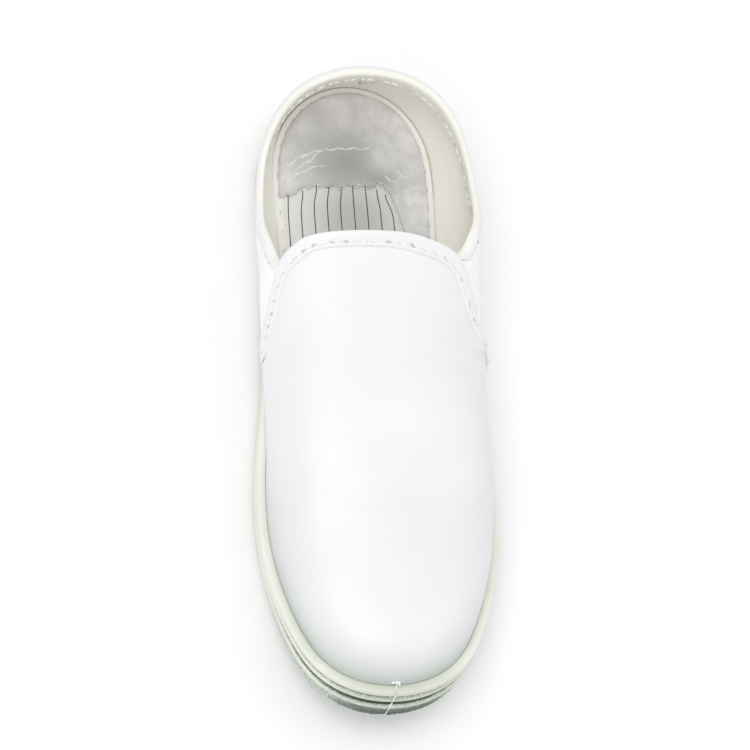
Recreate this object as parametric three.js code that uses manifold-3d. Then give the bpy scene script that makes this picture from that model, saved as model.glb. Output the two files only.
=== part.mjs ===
// A white slip-on work shoe for the right foot: a moulded cup sole, one closed upper with bound edges,
// and a loose insole with a heel pad. Millimetres, +Z up, floor at Z = 0.
// The toe points to -Y, and the inner side of the foot is at +X.
import * as THREE from "three";
import { mergeVertices } from "three/addons/utils/BufferGeometryUtils.js";
import Module from "manifold-3d";

const wasm = await Module();
wasm.setup();

// Sizes of the last and the sole
const SOLE_LENGTH = 291;
const BALL_WIDTH = 108;
const HEEL_WIDTH = 80;
const UPPER_WIDTH = 95.5;
const INSTEP_HEIGHT = 76;
const SIDE_HEIGHT = 52;
const HEEL_HEIGHT = 62;
const RIM_HEIGHT = 27;
const FOOTBED_HEIGHT = 22;
const TOE_SPRING = 18;
const HEEL_LEAN = 20.5;
const BACK_SET = 2.7;
const TOE_SET = 4.7;
const INNER_RISE = 11;

// Side of the sole, from the rim down
const RIM_LEDGE = 4.3;
const HEEL_LEDGE = 2.6;
const RIM_ROUND = 0.9;
const RIM_BAND = 4.2;
const RIB_BAND = 4.4;
const RIB_SET = 0.5;
const GROOVE_WIDTH = 1.1;
const GROOVE_DEPTH = 1.6;
const GROOVE_SLOPE = 0.3;
const WALL_SET = 0.9;
const WALL_TAPER = 1.5;
const BEVEL_HEIGHT = 3;
const BEVEL_WIDTH = 4.6;

// Tread
const TREAD_REAR = 137;
const HEEL_BREAST = 78;
const ARCH_RISE = 2.8;
const ARCH_STEP = 2;
const ARCH_RAMP = 11;
const BLOCK_PITCH = 9;
const BLOCK_LENGTH = 15;
const BLOCK_BORDER = 1.8;
const SLOT_WIDTH = 2;
const SLOT_DEPTH = 2.2;
const OVAL_GROOVE = 1.4;
const OVAL_DEPTH = 1.5;
const TOE_CRESCENT = 30;
const HEEL_CRESCENT = 16;

// Upper, bindings and insole
const WALL = 1.8;
const GAP = 0.3;
const BINDING_WIDTH = 7;
const BINDING_THICKNESS = 0.7;
const COLLAR_DEPTH = 5;
const UNDERCUT = 5;
const INSOLE_THICKNESS = 3;
const PAD_THICKNESS = 1.2;
const PAD_MARGIN = 3;
const PAD_LENGTH = 46;

// Equally spaced sections from the back of the heel to the tip of the toe.
// swing: shift of the middle line towards the inner side, share of BALL_WIDTH
// heel, ball: half width of the sole before its ends are rounded, shares of HEEL_WIDTH and BALL_WIDTH
// upper: half width of the upper where it bulges most, share of UPPER_WIDTH
// crown: height of the ridge of the last, share of INSTEP_HEIGHT
// full: how far the section stands out between its foot and its ridge, as a share of its width
// rim: height of the sole's rim, share of RIM_HEIGHT
// bed: height of the floor inside the sole, share of FOOTBED_HEIGHT
const SECTIONS = [
  { swing: 0.004, heel: 0.928, ball: 0.0, upper: 0.825, crown: 1.12, full: 0.5, rim: 1.0, bed: 1.0 },
  { swing: -0.003, heel: 0.801, ball: 0.0, upper: 0.708, crown: 1.16, full: 0.5, rim: 1.0, bed: 1.0 },
  { swing: -0.007, heel: 0.634, ball: 0.0, upper: 0.618, crown: 1.125, full: 0.51, rim: 0.98, bed: 1.0 },
  { swing: -0.006, heel: 0.542, ball: 0.0, upper: 0.556, crown: 1.003, full: 0.52, rim: 0.96, bed: 0.98 },
  { swing: -0.008, heel: 0.287, ball: 0.194, upper: 0.53, crown: 0.865, full: 0.21, rim: 0.93, bed: 0.88 },
  { swing: -0.008, heel: 0.08, ball: 0.364, upper: 0.524, crown: 0.84, full: 0.18, rim: 0.87, bed: 0.73 },
  { swing: -0.002, heel: 0.0, ball: 0.49, upper: 0.524, crown: 0.77, full: 0.29, rim: 0.8, bed: 0.6 },
  { swing: -0.002, heel: 0.0, ball: 0.54, upper: 0.55, crown: 0.7, full: 0.3, rim: 0.76, bed: 0.53 },
  { swing: -0.006, heel: 0.0, ball: 0.576, upper: 0.6, crown: 0.65, full: 0.3, rim: 0.76, bed: 0.5 },
  { swing: -0.02, heel: 0.0, ball: 0.606, upper: 0.64, crown: 0.59, full: 0.3, rim: 0.75, bed: 0.5 },
  { swing: -0.033, heel: 0.0, ball: 0.752, upper: 0.781, crown: 0.52, full: 0.3, rim: 0.78, bed: 0.5 },
];

// Top edge of the quarters, from behind the heel to the throat corner.
// along: share of SOLE_LENGTH; side, back: shares of SIDE_HEIGHT and HEEL_HEIGHT
const TOPLINE = [
  { along: -0.06, side: 0.0, back: 1.0 },
  { along: 0.03, side: 0.0, back: 0.985 },
  { along: 0.1, side: 0.354, back: 0.6 },
  { along: 0.17, side: 0.802, back: 0.15 },
  { along: 0.24, side: 0.992, back: 0.0 },
  { along: 0.295, side: 1.12, back: 0.0 },
  { along: 0.34, side: 1.19, back: 0.0 },
  { along: 0.375, side: 1.45, back: 0.0 },
];

// Rear edge of the vamp binding, from above the throat down the side to the sole.
// along: share of SOLE_LENGTH; side: share of SIDE_HEIGHT; rise: share of the throat's height above it
const VAMP_EDGE = [
  { along: 0.305, side: 1.0, rise: 2.0 },
  { along: 0.309, side: 1.0, rise: 1.1 },
  { along: 0.324, side: 1.0, rise: 0.75 },
  { along: 0.348, side: 1.0, rise: 0.4 },
  { along: 0.385, side: 1.0, rise: 0.05 },
  { along: 0.43, side: 0.82, rise: 0.0 },
  { along: 0.456, side: 0.6, rise: 0.0 },
  { along: 0.474, side: 0.4, rise: 0.0 },
  { along: 0.486, side: 0.1, rise: 0.0 },
];

// Fineness of the faceted forms
const TURNS = 64;
const TIERS = 11;
const EDGE_STEPS = 18;
const TURN_STEP = 0.01;
const MERGE_DISTANCE = 1e-4;

// Shape of the last: fullness of its shoulder, and where its tuck, ridge, toe spring and lean reach
const SHOULDER = 0.16;
const TUCK_SHARE = 0.34;
const SPINE_REACH = 0.4;
const BEND_START = 0.7;
const LEAN_REACH = 0.28;

// Value of one column of the sections at a share of the length, on a smooth curve.
function section(column, share) {
  const last = SECTIONS.length - 1;
  const place = Math.min(Math.max(share, 0), 1) * last;
  const row = Math.min(Math.floor(place), last - 1);
  const f = place - row;
  const value = (index) => {
    if (index < 0) {
      return 2 * SECTIONS[0][column] - SECTIONS[1][column];
    }
    if (index > last) {
      return 2 * SECTIONS[last][column] - SECTIONS[last - 1][column];
    }
    return SECTIONS[index][column];
  };
  const weights = [(1 - f) ** 3, 3 * f ** 3 - 6 * f ** 2 + 4, -3 * f ** 3 + 3 * f ** 2 + 3 * f + 1, f ** 3];
  return weights.reduce((sum, weight, k) => sum + weight * value(row - 1 + k), 0) / 6;
}

const rimHeight = (share) => RIM_HEIGHT * section("rim", share);
const bedHeight = (share) => FOOTBED_HEIGHT * section("bed", share);
const crownHeight = (share) => INSTEP_HEIGHT * section("crown", share);
const swing = (share) => BALL_WIDTH * section("swing", share);
const lengthShare = (turn) => (1 - Math.cos(turn)) / 2;
const ledge = (turn) => HEEL_LEDGE + (RIM_LEDGE - HEEL_LEDGE) * lengthShare(turn);

// Plan outline of the sole: turn 0 is the back of the heel, and half a turn is the tip of the toe.
function solePlan(turn) {
  const share = lengthShare(turn);
  const half = HEEL_WIDTH * section("heel", share) + BALL_WIDTH * section("ball", share);
  return [swing(share) + half * Math.sin(turn), SOLE_LENGTH * share];
}

// Plan outline of the upper where it bulges most.
function upperPlan(turn) {
  const share = lengthShare(turn);
  const half = UPPER_WIDTH * section("upper", share);
  return [swing(share) + half * Math.sin(turn), BACK_SET + (SOLE_LENGTH - BACK_SET - TOE_SET) * share];
}

// Point of a plan outline moved inwards, square to the outline.
function inset(plan, turn, distance) {
  const [x, s] = plan(turn);
  const [x0, s0] = plan(turn - TURN_STEP);
  const [x1, s1] = plan(turn + TURN_STEP);
  const size = Math.hypot(x1 - x0, s1 - s0);
  return [x - (distance * (s1 - s0)) / size, s + (distance * (x1 - x0)) / size];
}

// Toe spring: the shoe in front of the bend start is rolled up on a parabola, square to its own sole.
function rollToe([x, s, z]) {
  const start = BEND_START * SOLE_LENGTH;
  const reach = SOLE_LENGTH - start;
  const past = Math.max(0, (s - start) / reach);
  const angle = Math.atan((2 * TOE_SPRING * past) / reach);
  return [x, SOLE_LENGTH / 2 - s + z * Math.sin(angle), TOE_SPRING * past ** 2 + z * Math.cos(angle)];
}

// Closed solid from triangles that name their corners by index.
function solidFrom(points, faces) {
  const geometry = new THREE.BufferGeometry();
  geometry.setAttribute("position", new THREE.BufferAttribute(new Float32Array(points.flat()), 3));
  geometry.setIndex(faces.flat());
  return solidOf(geometry);
}

function solidOf(geometry) {
  geometry.deleteAttribute("normal");
  geometry.deleteAttribute("uv");
  const merged = mergeVertices(geometry, MERGE_DISTANCE);
  return new wasm.Manifold(new wasm.Mesh({
    numProp: 3,
    vertProperties: new Float32Array(merged.attributes.position.array),
    triVerts: new Uint32Array(merged.index.array),
  }));
}

// Rungs across a ring, from its inner side to its outer side.
function ladder(first, upwards) {
  const faces = [];
  for (let j = 0; j < TURNS / 2; j += 1) {
    const near = [first + j, first + j + 1];
    const far = [first + (TURNS - j) % TURNS, first + TURNS - j - 1];
    if (j < TURNS / 2 - 1) {
      faces.push([near[0], near[1], far[1]]);
    }
    if (j > 0) {
      faces.push([near[0], far[1], far[0]]);
    }
  }
  return upwards ? faces.map(([a, b, c]) => [a, c, b]) : faces;
}

// Solid through rings from the lowest to the last, closed below and, unless it ends in a ridge, above.
function stack(rings, ridge = false) {
  const faces = ladder(0, false);
  for (let k = 0; k + 1 < rings.length; k += 1) {
    for (let j = 0; j < TURNS; j += 1) {
      const a = k * TURNS + j;
      const b = k * TURNS + (j + 1) % TURNS;
      faces.push([a, a + TURNS, b], [b, a + TURNS, b + TURNS]);
    }
  }
  if (!ridge) {
    faces.push(...ladder((rings.length - 1) * TURNS, true));
  }
  return solidFrom(rings.flat().map(rollToe), faces);
}

function ring(place) {
  return Array.from({ length: TURNS }, (_, j) => place((2 * Math.PI * j) / TURNS));
}

// Ring of the sole's outline, moved inwards, at a height that follows the length.
function soleRing(distance, height) {
  return ring((turn) => [...inset(solePlan, turn, distance), height(lengthShare(turn))]);
}

// Ring inside the cup of the sole, at a distance in from the edge of its ledge.
function cupRing(distance, height) {
  return ring((turn) => [...inset(solePlan, turn, ledge(turn) + distance), height(lengthShare(turn))]);
}

// Point of the last's skin: elevation 0 is the edge at the sole, and a quarter turn is the ridge.
function lastPoint(turn, elevation, grow) {
  const share = lengthShare(turn);
  const spineShare = 0.5 + SPINE_REACH * (2 * share - 1);
  const spine = [swing(spineShare), SOLE_LENGTH * spineShare];
  const wide = inset(upperPlan, turn, -grow);
  const foot = inset(solePlan, turn, ledge(turn) - grow);
  const out = Math.cos(elevation) * (1 + section("full", share) * Math.sin(elevation) ** 2);
  const up = Math.sin(elevation) * (1 + SHOULDER * Math.cos(elevation) ** 2);
  const tuck = Math.max(0, 1 - up / TUCK_SHARE) ** 2;
  const lean = HEEL_LEAN * Math.max(0, 1 - share / LEAN_REACH) ** 2 * up ** 2;
  const [x, s] = [0, 1].map((i) => spine[i] + out * (wide[i] - spine[i]) - tuck * (wide[i] - foot[i]));
  const base = rimHeight(share);
  return [x, s + lean, base + up * (crownHeight(s / SOLE_LENGTH) + grow - base)];
}

// The last as a solid, grown or shrunk, standing on a foot at the given height over the floor of the cup.
function last(grow, foot) {
  const edge = cupRing(-grow, (share) => bedHeight(share) + foot);
  const tiers = Array.from({ length: TIERS + 1 }, (_, k) => (
    ring((turn) => lastPoint(turn, (Math.PI / 2) * (k / TIERS), grow))
  ));
  return stack([edge, ...tiers], true);
}

// Shell over and under the leather, grown by the same amount on both sides.
function shell(grow) {
  return last(grow, GAP).subtract(last(-WALL - grow, -UNDERCUT));
}

// Side view outline, given as points of distance from the heel and height, as a solid across the shoe.
// A skew lifts it towards the inner side, by that much over the width of the upper.
function sidePrism(points, skew = 0) {
  const shape = new THREE.Shape(points.map(([s, z]) => new THREE.Vector2(SOLE_LENGTH / 2 - s, z)));
  const across = 2 * UPPER_WIDTH;
  const geometry = new THREE.ExtrudeGeometry(shape, { depth: across, bevelEnabled: false });
  geometry.translate(0, 0, -across / 2);
  const lift = skew / UPPER_WIDTH;
  geometry.applyMatrix4(new THREE.Matrix4().set(0, 0, 1, 0, 1, 0, 0, 0, 0, 1, lift, 0, 0, 0, 0, 1));
  return solidOf(geometry);
}

// Points of a smooth line, moved sideways: a positive distance is forward or down from the line.
function edgeLine(line, distance, from = 0, to = 1) {
  return Array.from({ length: EDGE_STEPS + 1 }, (_, k) => {
    const at = from + ((to - from) * k) / EDGE_STEPS;
    const point = line.getPointAt(at);
    const tangent = line.getTangentAt(at);
    return [point.x - tangent.y * distance, point.y + tangent.x * distance];
  });
}

const topline = new THREE.SplineCurve(TOPLINE.map((row) => (
  new THREE.Vector2(row.along * SOLE_LENGTH, row.side * SIDE_HEIGHT + row.back * HEEL_HEIGHT)
)));
const vampEdge = new THREE.SplineCurve(VAMP_EDGE.map((row) => new THREE.Vector2(
  row.along * SOLE_LENGTH,
  row.side * SIDE_HEIGHT + row.rise * (INSTEP_HEIGHT - SIDE_HEIGHT),
)));

// Everything in front of the vamp edge, moved forward by a distance, and everything under the topline.
const FAR = 2 * SOLE_LENGTH;
const inFrontOf = (distance) => sidePrism([
  [FAR, -FAR],
  [FAR, FAR],
  [VAMP_EDGE[0].along * SOLE_LENGTH, FAR],
  ...edgeLine(vampEdge, distance),
  [VAMP_EDGE.at(-1).along * SOLE_LENGTH, -FAR],
], INNER_RISE);
const underTopline = (distance) => sidePrism([
  [-FAR, -FAR],
  [FAR, -FAR],
  [FAR, 2 * SIDE_HEIGHT - distance],
  ...edgeLine(topline, -distance).reverse(),
  [-FAR, HEEL_HEIGHT - distance],
], INNER_RISE);
// What is left of a whole last once the foot's opening is cut, with its edges set back by a distance.
const closedPart = (distance) => inFrontOf(distance).add(underTopline(distance));

function makeUpper() {
  return shell(0).intersect(closedPart(BINDING_THICKNESS + GAP));
}

// Folded strip over an edge of the upper: a channel that follows the leather on both sides.
function makeBinding(band) {
  const leatherRoom = shell(GAP).intersect(closedPart(BINDING_THICKNESS));
  return shell(GAP + BINDING_THICKNESS).intersect(band).subtract(leatherRoom);
}

// The strip laps over the throat, and below the throat corner it stays on the outside, down to the rim.
function makeVampBinding() {
  const strip = inFrontOf(0).subtract(inFrontOf(BINDING_WIDTH));
  const seamFoot = rimHeight(VAMP_EDGE.at(-3).along) + GAP;
  const overRim = sidePrism([[-FAR, seamFoot], [FAR, seamFoot], [FAR, FAR], [-FAR, FAR]]);
  const inside = last(-WALL / 2, -UNDERCUT).intersect(underTopline(0));
  return makeBinding(strip.intersect(overRim)).subtract(inside);
}

function makeCollarBinding() {
  const band = underTopline(0).subtract(underTopline(COLLAR_DEPTH));
  return makeBinding(band.subtract(inFrontOf(-GAP)));
}

// Side of the sole as levels from the floor up: distance in from the rim's outline, and height.
function makeSoleBlank() {
  const below = (drop) => (share) => rimHeight(share) - drop;
  const rib = RIM_BAND + GROOVE_WIDTH;
  const wall = rib + RIB_BAND + GROOVE_WIDTH;
  return stack([
    soleRing(WALL_TAPER + BEVEL_WIDTH, () => 0),
    soleRing(WALL_TAPER, () => BEVEL_HEIGHT),
    soleRing(WALL_SET, below(wall + GROOVE_SLOPE)),
    soleRing(GROOVE_DEPTH + WALL_SET, below(wall)),
    soleRing(GROOVE_DEPTH + RIB_SET, below(rib + RIB_BAND)),
    soleRing(RIB_SET, below(rib + RIB_BAND - GROOVE_SLOPE)),
    soleRing(RIB_SET, below(rib + GROOVE_SLOPE)),
    soleRing(GROOVE_DEPTH + RIB_SET, below(rib)),
    soleRing(GROOVE_DEPTH, below(RIM_BAND)),
    soleRing(0, below(RIM_BAND - GROOVE_SLOPE)),
    soleRing(0, below(RIM_ROUND)),
    soleRing(RIM_ROUND, below(0)),
    cupRing(-GAP, below(0)),
    cupRing(-GAP, bedHeight),
  ]);
}

// Box in the sole's own length and width, rolled up with the toe.
function soleBox([x0, x1], [s0, s1], [z0, z1]) {
  const geometry = new THREE.BoxGeometry(1, 1, 1);
  const position = geometry.attributes.position;
  const pick = (low, high, side) => (side < 0 ? low : high);
  for (let k = 0; k < position.count; k += 1) {
    const s = pick(s1, s0, position.getY(k));
    const x = pick(x0, x1, position.getX(k));
    position.setXYZ(k, ...rollToe([x, s, pick(z0, z1, position.getZ(k))]));
  }
  return solidOf(geometry);
}

const TREAD_INSET = WALL_TAPER + BEVEL_WIDTH;
const OVAL_INSET = TREAD_INSET + BLOCK_BORDER + BLOCK_LENGTH + BLOCK_BORDER;

// Crosswise slots between the blocks of one side, and the groove that borders the oval inside the blocks.
function makeTreadCuts(from, to, firstSlot, lastSlot) {
  const cuts = [];
  for (let s = firstSlot; s <= lastSlot; s += BLOCK_PITCH) {
    const turn = Math.acos(1 - (2 * s) / SOLE_LENGTH);
    for (const side of [1, -1]) {
      const [x] = inset(solePlan, side * turn, TREAD_INSET + BLOCK_BORDER);
      const ends = side > 0 ? [x - BLOCK_LENGTH, x] : [x, x + BLOCK_LENGTH];
      cuts.push(soleBox(ends, [s - SLOT_WIDTH / 2, s + SLOT_WIDTH / 2], [-SLOT_DEPTH, SLOT_DEPTH]));
    }
  }
  const oval = (distance) => stack([
    soleRing(distance, () => -OVAL_DEPTH),
    soleRing(distance, () => OVAL_DEPTH),
  ]);
  const stretch = sidePrism([[from, -FAR], [to, -FAR], [to, FAR], [from, FAR]]);
  cuts.push(oval(OVAL_INSET).subtract(oval(OVAL_INSET + OVAL_GROOVE)).intersect(stretch));
  return cuts;
}

function makeOutsole() {
  const arch = sidePrism([
    [HEEL_BREAST, -ARCH_RISE],
    [TREAD_REAR, -ARCH_RISE],
    [TREAD_REAR, ARCH_STEP],
    [TREAD_REAR - ARCH_RAMP, ARCH_RISE],
    [HEEL_BREAST + ARCH_RAMP, ARCH_RISE],
    [HEEL_BREAST, 0],
  ]);
  const cuts = [
    arch,
    ...makeTreadCuts(TREAD_REAR, FAR, TREAD_REAR + BLOCK_PITCH / 2, SOLE_LENGTH - TOE_CRESCENT),
    ...makeTreadCuts(-FAR, HEEL_BREAST, HEEL_CRESCENT, HEEL_BREAST - BLOCK_PITCH / 2),
  ];
  return cuts.reduce((sole, cut) => sole.subtract(cut), makeSoleBlank());
}

function makeInsole() {
  return stack([
    cupRing(WALL + GAP, (share) => bedHeight(share) + GAP),
    cupRing(WALL + GAP, (share) => bedHeight(share) + GAP + INSOLE_THICKNESS),
  ]);
}

function makeHeelPad() {
  const distance = WALL + GAP + PAD_MARGIN;
  const seat = 2 * GAP + INSOLE_THICKNESS;
  const sheet = stack([
    cupRing(distance, (share) => bedHeight(share) + seat),
    cupRing(distance, (share) => bedHeight(share) + seat + PAD_THICKNESS),
  ]);
  const front = HEEL_LEDGE + distance + PAD_LENGTH;
  return sheet.intersect(sidePrism([[-FAR, -FAR], [front, -FAR], [front, FAR], [-FAR, FAR]]));
}

// Finishes
const solePvc = new THREE.MeshStandardMaterial({ color: 0xe9eade, roughness: 0.5, metalness: 0 });
const leather = new THREE.MeshStandardMaterial({ color: 0xf3f2f6, roughness: 0.42, metalness: 0 });
const trim = new THREE.MeshStandardMaterial({ color: 0xf1f1f2, roughness: 0.5, metalness: 0 });
const insoleCloth = new THREE.MeshStandardMaterial({ color: 0xc8c5c4, roughness: 0.9, metalness: 0 });
const padCloth = new THREE.MeshStandardMaterial({ color: 0xc2bfc2, roughness: 0.85, metalness: 0 });

function meshOf(name, solid, material) {
  const { numProp, vertProperties, triVerts } = solid.getMesh();
  const positions = vertProperties.filter((_, index) => index % numProp < 3);
  const geometry = new THREE.BufferGeometry();
  geometry.setAttribute("position", new THREE.BufferAttribute(positions, 3));
  geometry.setIndex(new THREE.BufferAttribute(new Uint32Array(triVerts), 1));
  geometry.computeVertexNormals();
  const mesh = new THREE.Mesh(geometry, material);
  mesh.name = name;
  return mesh;
}

const shoe = new THREE.Group();
shoe.add(meshOf("outsole", makeOutsole(), solePvc));
shoe.add(meshOf("upper", makeUpper(), leather));
shoe.add(meshOf("vamp_binding", makeVampBinding(), trim));
shoe.add(meshOf("collar_binding", makeCollarBinding(), trim));
shoe.add(meshOf("insole", makeInsole(), insoleCloth));
shoe.add(meshOf("heel_pad", makeHeelPad(), padCloth));

// The origin lies under the middle of the shoe, on the floor.
const extent = new THREE.Box3().setFromObject(shoe);
const middle = extent.getCenter(new THREE.Vector3());
shoe.position.set(-middle.x, -middle.y, -extent.min.z);

export default shoe;
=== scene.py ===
# %% [markdown]
# # A white slip-on work shoe for the right foot
#
# The shoe is a moulded cup sole, a soft coated upper with bound edges, and a loose insole with a heel pad.
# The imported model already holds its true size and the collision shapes. This script dresses it: each piece
# is worked out again from the same last, but finely, with its seams, stitches, folds and finishes.

import bmesh
import bpy
import numpy as np
from mathutils import Matrix, Vector


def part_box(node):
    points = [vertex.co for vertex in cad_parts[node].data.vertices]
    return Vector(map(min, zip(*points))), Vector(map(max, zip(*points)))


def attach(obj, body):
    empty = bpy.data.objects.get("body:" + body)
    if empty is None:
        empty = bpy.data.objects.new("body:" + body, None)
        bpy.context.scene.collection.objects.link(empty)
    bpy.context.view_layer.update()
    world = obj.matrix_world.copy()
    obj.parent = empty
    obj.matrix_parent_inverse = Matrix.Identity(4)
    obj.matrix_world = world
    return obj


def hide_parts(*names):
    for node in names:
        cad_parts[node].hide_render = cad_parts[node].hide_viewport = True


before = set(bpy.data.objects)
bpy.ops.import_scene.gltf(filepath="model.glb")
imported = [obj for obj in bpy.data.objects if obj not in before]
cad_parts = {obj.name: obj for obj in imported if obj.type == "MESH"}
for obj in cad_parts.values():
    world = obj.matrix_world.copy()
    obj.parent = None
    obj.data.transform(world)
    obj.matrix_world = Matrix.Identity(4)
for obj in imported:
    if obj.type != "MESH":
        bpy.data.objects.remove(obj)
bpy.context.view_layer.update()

# %% [markdown]
# ## The last
#
# A shoe is built round a last, a solid foot form. Every piece of the upper follows its skin at some
# distance, so one function of the last, with a distance called grow, gives leather, lining and bindings
# alike. Pieces modelled one by one would not lie so well on each other. The sizes and the table of sections
# are the ones that the part itself is built from, in millimetres.

# %% Sizes of the last and the sole, in millimetres
SOLE_LENGTH = 291
BALL_WIDTH = 108
HEEL_WIDTH = 80
UPPER_WIDTH = 95.5
INSTEP_HEIGHT = 76
SIDE_HEIGHT = 52
HEEL_HEIGHT = 62
RIM_HEIGHT = 27
FOOTBED_HEIGHT = 22
TOE_SPRING = 18
HEEL_LEAN = 20.5
BACK_SET = 2.7
TOE_SET = 4.7
INNER_RISE = 11
RIM_LEDGE = 4.3
HEEL_LEDGE = 2.6
WALL = 1.8
GAP = 0.3
BINDING_WIDTH = 7
BINDING_THICKNESS = 0.7

# Shares and turns that shape the skin.
SHOULDER = 0.16
TUCK_SHARE = 0.34
SPINE_REACH = 0.4
BEND_START = 0.7
LEAN_REACH = 0.28
TURN_STEP = 0.01
FOOT_TURN = 0.3

# A row for each tenth of the length, from the back of the heel to the tip of the toe.
SECTION_COLUMNS = ("swing", "heel", "ball", "upper", "crown", "full", "rim", "bed")
SECTION_ROWS = np.array([
    (0.004, 0.928, 0.0, 0.825, 1.12, 0.5, 1.0, 1.0),
    (-0.003, 0.801, 0.0, 0.708, 1.16, 0.5, 1.0, 1.0),
    (-0.007, 0.634, 0.0, 0.618, 1.125, 0.51, 0.98, 1.0),
    (-0.006, 0.542, 0.0, 0.556, 1.003, 0.52, 0.96, 0.98),
    (-0.008, 0.287, 0.194, 0.53, 0.865, 0.21, 0.93, 0.88),
    (-0.008, 0.08, 0.364, 0.524, 0.84, 0.18, 0.87, 0.73),
    (-0.002, 0.0, 0.49, 0.524, 0.77, 0.29, 0.8, 0.6),
    (-0.002, 0.0, 0.54, 0.55, 0.7, 0.3, 0.76, 0.53),
    (-0.006, 0.0, 0.576, 0.6, 0.65, 0.3, 0.76, 0.5),
    (-0.02, 0.0, 0.606, 0.64, 0.59, 0.3, 0.75, 0.5),
    (-0.033, 0.0, 0.752, 0.781, 0.52, 0.3, 0.78, 0.5),
])
SECTIONS = dict(zip(SECTION_COLUMNS, SECTION_ROWS.T))


# %% Sections and outlines
def section(column, share):
    """Value of a column at a share of the length: a uniform cubic B-spline with straight ends.

    Each of the four nearest rows has its own cubic weight, and the four weights add up to six.
    """
    values = SECTIONS[column]
    padded = np.concatenate([[2 * values[0] - values[1]], values, [2 * values[-1] - values[-2]]])
    place = np.clip(share, 0, 1) * (len(values) - 1)
    row = np.minimum(np.floor(place).astype(int), len(values) - 2)
    f = place - row
    weights = ((1 - f) ** 3, 3 * f ** 3 - 6 * f ** 2 + 4, -3 * f ** 3 + 3 * f ** 2 + 3 * f + 1, f ** 3)
    return sum(weight * padded[row + k] for k, weight in enumerate(weights)) / 6


def rim_height(share):
    """Height of the cup's rim: the full height times the rim column."""
    return RIM_HEIGHT * section("rim", share)


def bed_height(share):
    """Height of the floor inside the cup: the full height times the bed column."""
    return FOOTBED_HEIGHT * section("bed", share)


def swing(share):
    """How far the middle line bends sideways: the ball's width times the swing column."""
    return BALL_WIDTH * section("swing", share)


def length_share(turn):
    """Share of the length at a turn: 0 is the back of the heel, half a turn is the tip of the toe."""
    return (1 - np.cos(turn)) / 2


def ledge(turn):
    """How far the upper stands in from the rim: a straight mix of the heel's ledge and the toe's."""
    return HEEL_LEDGE + (RIM_LEDGE - HEEL_LEDGE) * length_share(turn)


def sole_plan(turn):
    """Outline of the sole from above: middle line plus half the width times the sine of the turn."""
    share = length_share(turn)
    half = HEEL_WIDTH * section("heel", share) + BALL_WIDTH * section("ball", share)
    return np.stack([swing(share) + half * np.sin(turn), SOLE_LENGTH * share], -1)


def upper_plan(turn):
    """Outline of the upper where it bulges most, worked out as the sole's is."""
    share = length_share(turn)
    half = UPPER_WIDTH * section("upper", share)
    length = BACK_SET + (SOLE_LENGTH - BACK_SET - TOE_SET) * share
    return np.stack([swing(share) + half * np.sin(turn), length], -1)


def unit(vectors):
    """Each vector over its own length."""
    return vectors / np.linalg.norm(vectors, axis=-1, keepdims=True)


def inset(plan, turn, distance):
    """Outline moved inwards: each point plus the distance times the unit vector square to the outline."""
    along = unit(plan(turn + TURN_STEP) - plan(turn - TURN_STEP))
    inward = np.stack([-along[..., 1], along[..., 0]], -1)
    return plan(turn) + np.asarray(distance)[..., None] * inward


def spine(turn):
    """Middle line that the sections close on, shorter than the sole at both ends."""
    share = 0.5 + SPINE_REACH * (2 * length_share(turn) - 1)
    return np.stack([swing(share), SOLE_LENGTH * share], -1)


# %% [markdown]
# ## Skin of the last
#
# A point on the last has a turn round the outline and an elevation from the rim up to the ridge. Half way it
# bulges past an ellipse, low down it tucks in to the sole, and at the heel it leans forwards. A negative
# elevation is the strip of leather that stands down inside the cup of the sole.

# %% Skin of the last
def last_skin(turn, rise, grow=0.0):
    """x, distance from the heel and height of the skin, grown outwards.

    The plan is the spine plus cos(rise) * (1 + full * sin(rise)^2) times the way out to the widest outline,
    less a tuck that fades as the skin climbs. The height is the rim plus sin(rise) * (1 + shoulder *
    cos(rise)^2) times the way up to the ridge.
    """
    share = length_share(turn)
    climb = np.maximum(rise, 0)
    out = np.cos(climb) * (1 + section("full", share) * np.sin(climb) ** 2)
    up = np.sin(climb) * (1 + SHOULDER * np.cos(climb) ** 2)
    tuck = np.maximum(0, 1 - up / TUCK_SHARE) ** 2
    lean = HEEL_LEAN * np.maximum(0, 1 - share / LEAN_REACH) ** 2 * up ** 2
    middle = spine(turn)
    wide = inset(upper_plan, turn, -np.asarray(grow) + 0 * share)
    foot = inset(sole_plan, turn, ledge(turn) - grow)
    plan = middle + out[..., None] * (wide - middle) - tuck[..., None] * (wide - foot)
    base = rim_height(share)
    ridge = INSTEP_HEIGHT * section("crown", plan[..., 1] / SOLE_LENGTH) + grow
    drop = np.clip(-rise / FOOT_TURN, 0, 1) * (base - bed_height(share) - GAP)
    return plan[..., 0], plan[..., 1] + lean, base + up * (ridge - base) - drop


def rolled(x, s, z):
    """Row frame position, before the part is centred: in front of the bend the toe rolls up on a parabola."""
    start = BEND_START * SOLE_LENGTH
    reach = SOLE_LENGTH - start
    past = np.maximum(0, (s - start) / reach)
    angle = np.arctan(2 * TOE_SPRING * past / reach)
    y = SOLE_LENGTH / 2 - s + z * np.sin(angle)
    return np.stack(np.broadcast_arrays(x, y, TOE_SPRING * past ** 2 + z * np.cos(angle)), -1)


outline = sole_plan(np.linspace(0, 2 * np.pi, 721))
sole_low, sole_high = (np.array(corner) * 1000 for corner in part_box("outsole"))
PLACE = np.array([
    (sole_low[0] + sole_high[0]) / 2 - (outline[:, 0].min() + outline[:, 0].max()) / 2,
    sole_high[1] - SOLE_LENGTH / 2,
    0.0,
])
print("The last is centred by", PLACE.round(2), "mm")

# %% [markdown]
# ## The edges of the leather
#
# Two lines, drawn in the side view, cut the leather: the topline of the quarters, and the edge of the vamp
# that runs from the throat down to the sole. Both are smooth curves through a few points given as shares of
# the shoe's sizes. The inner side of a shoe is a little higher, so both lines climb across the shoe.

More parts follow.
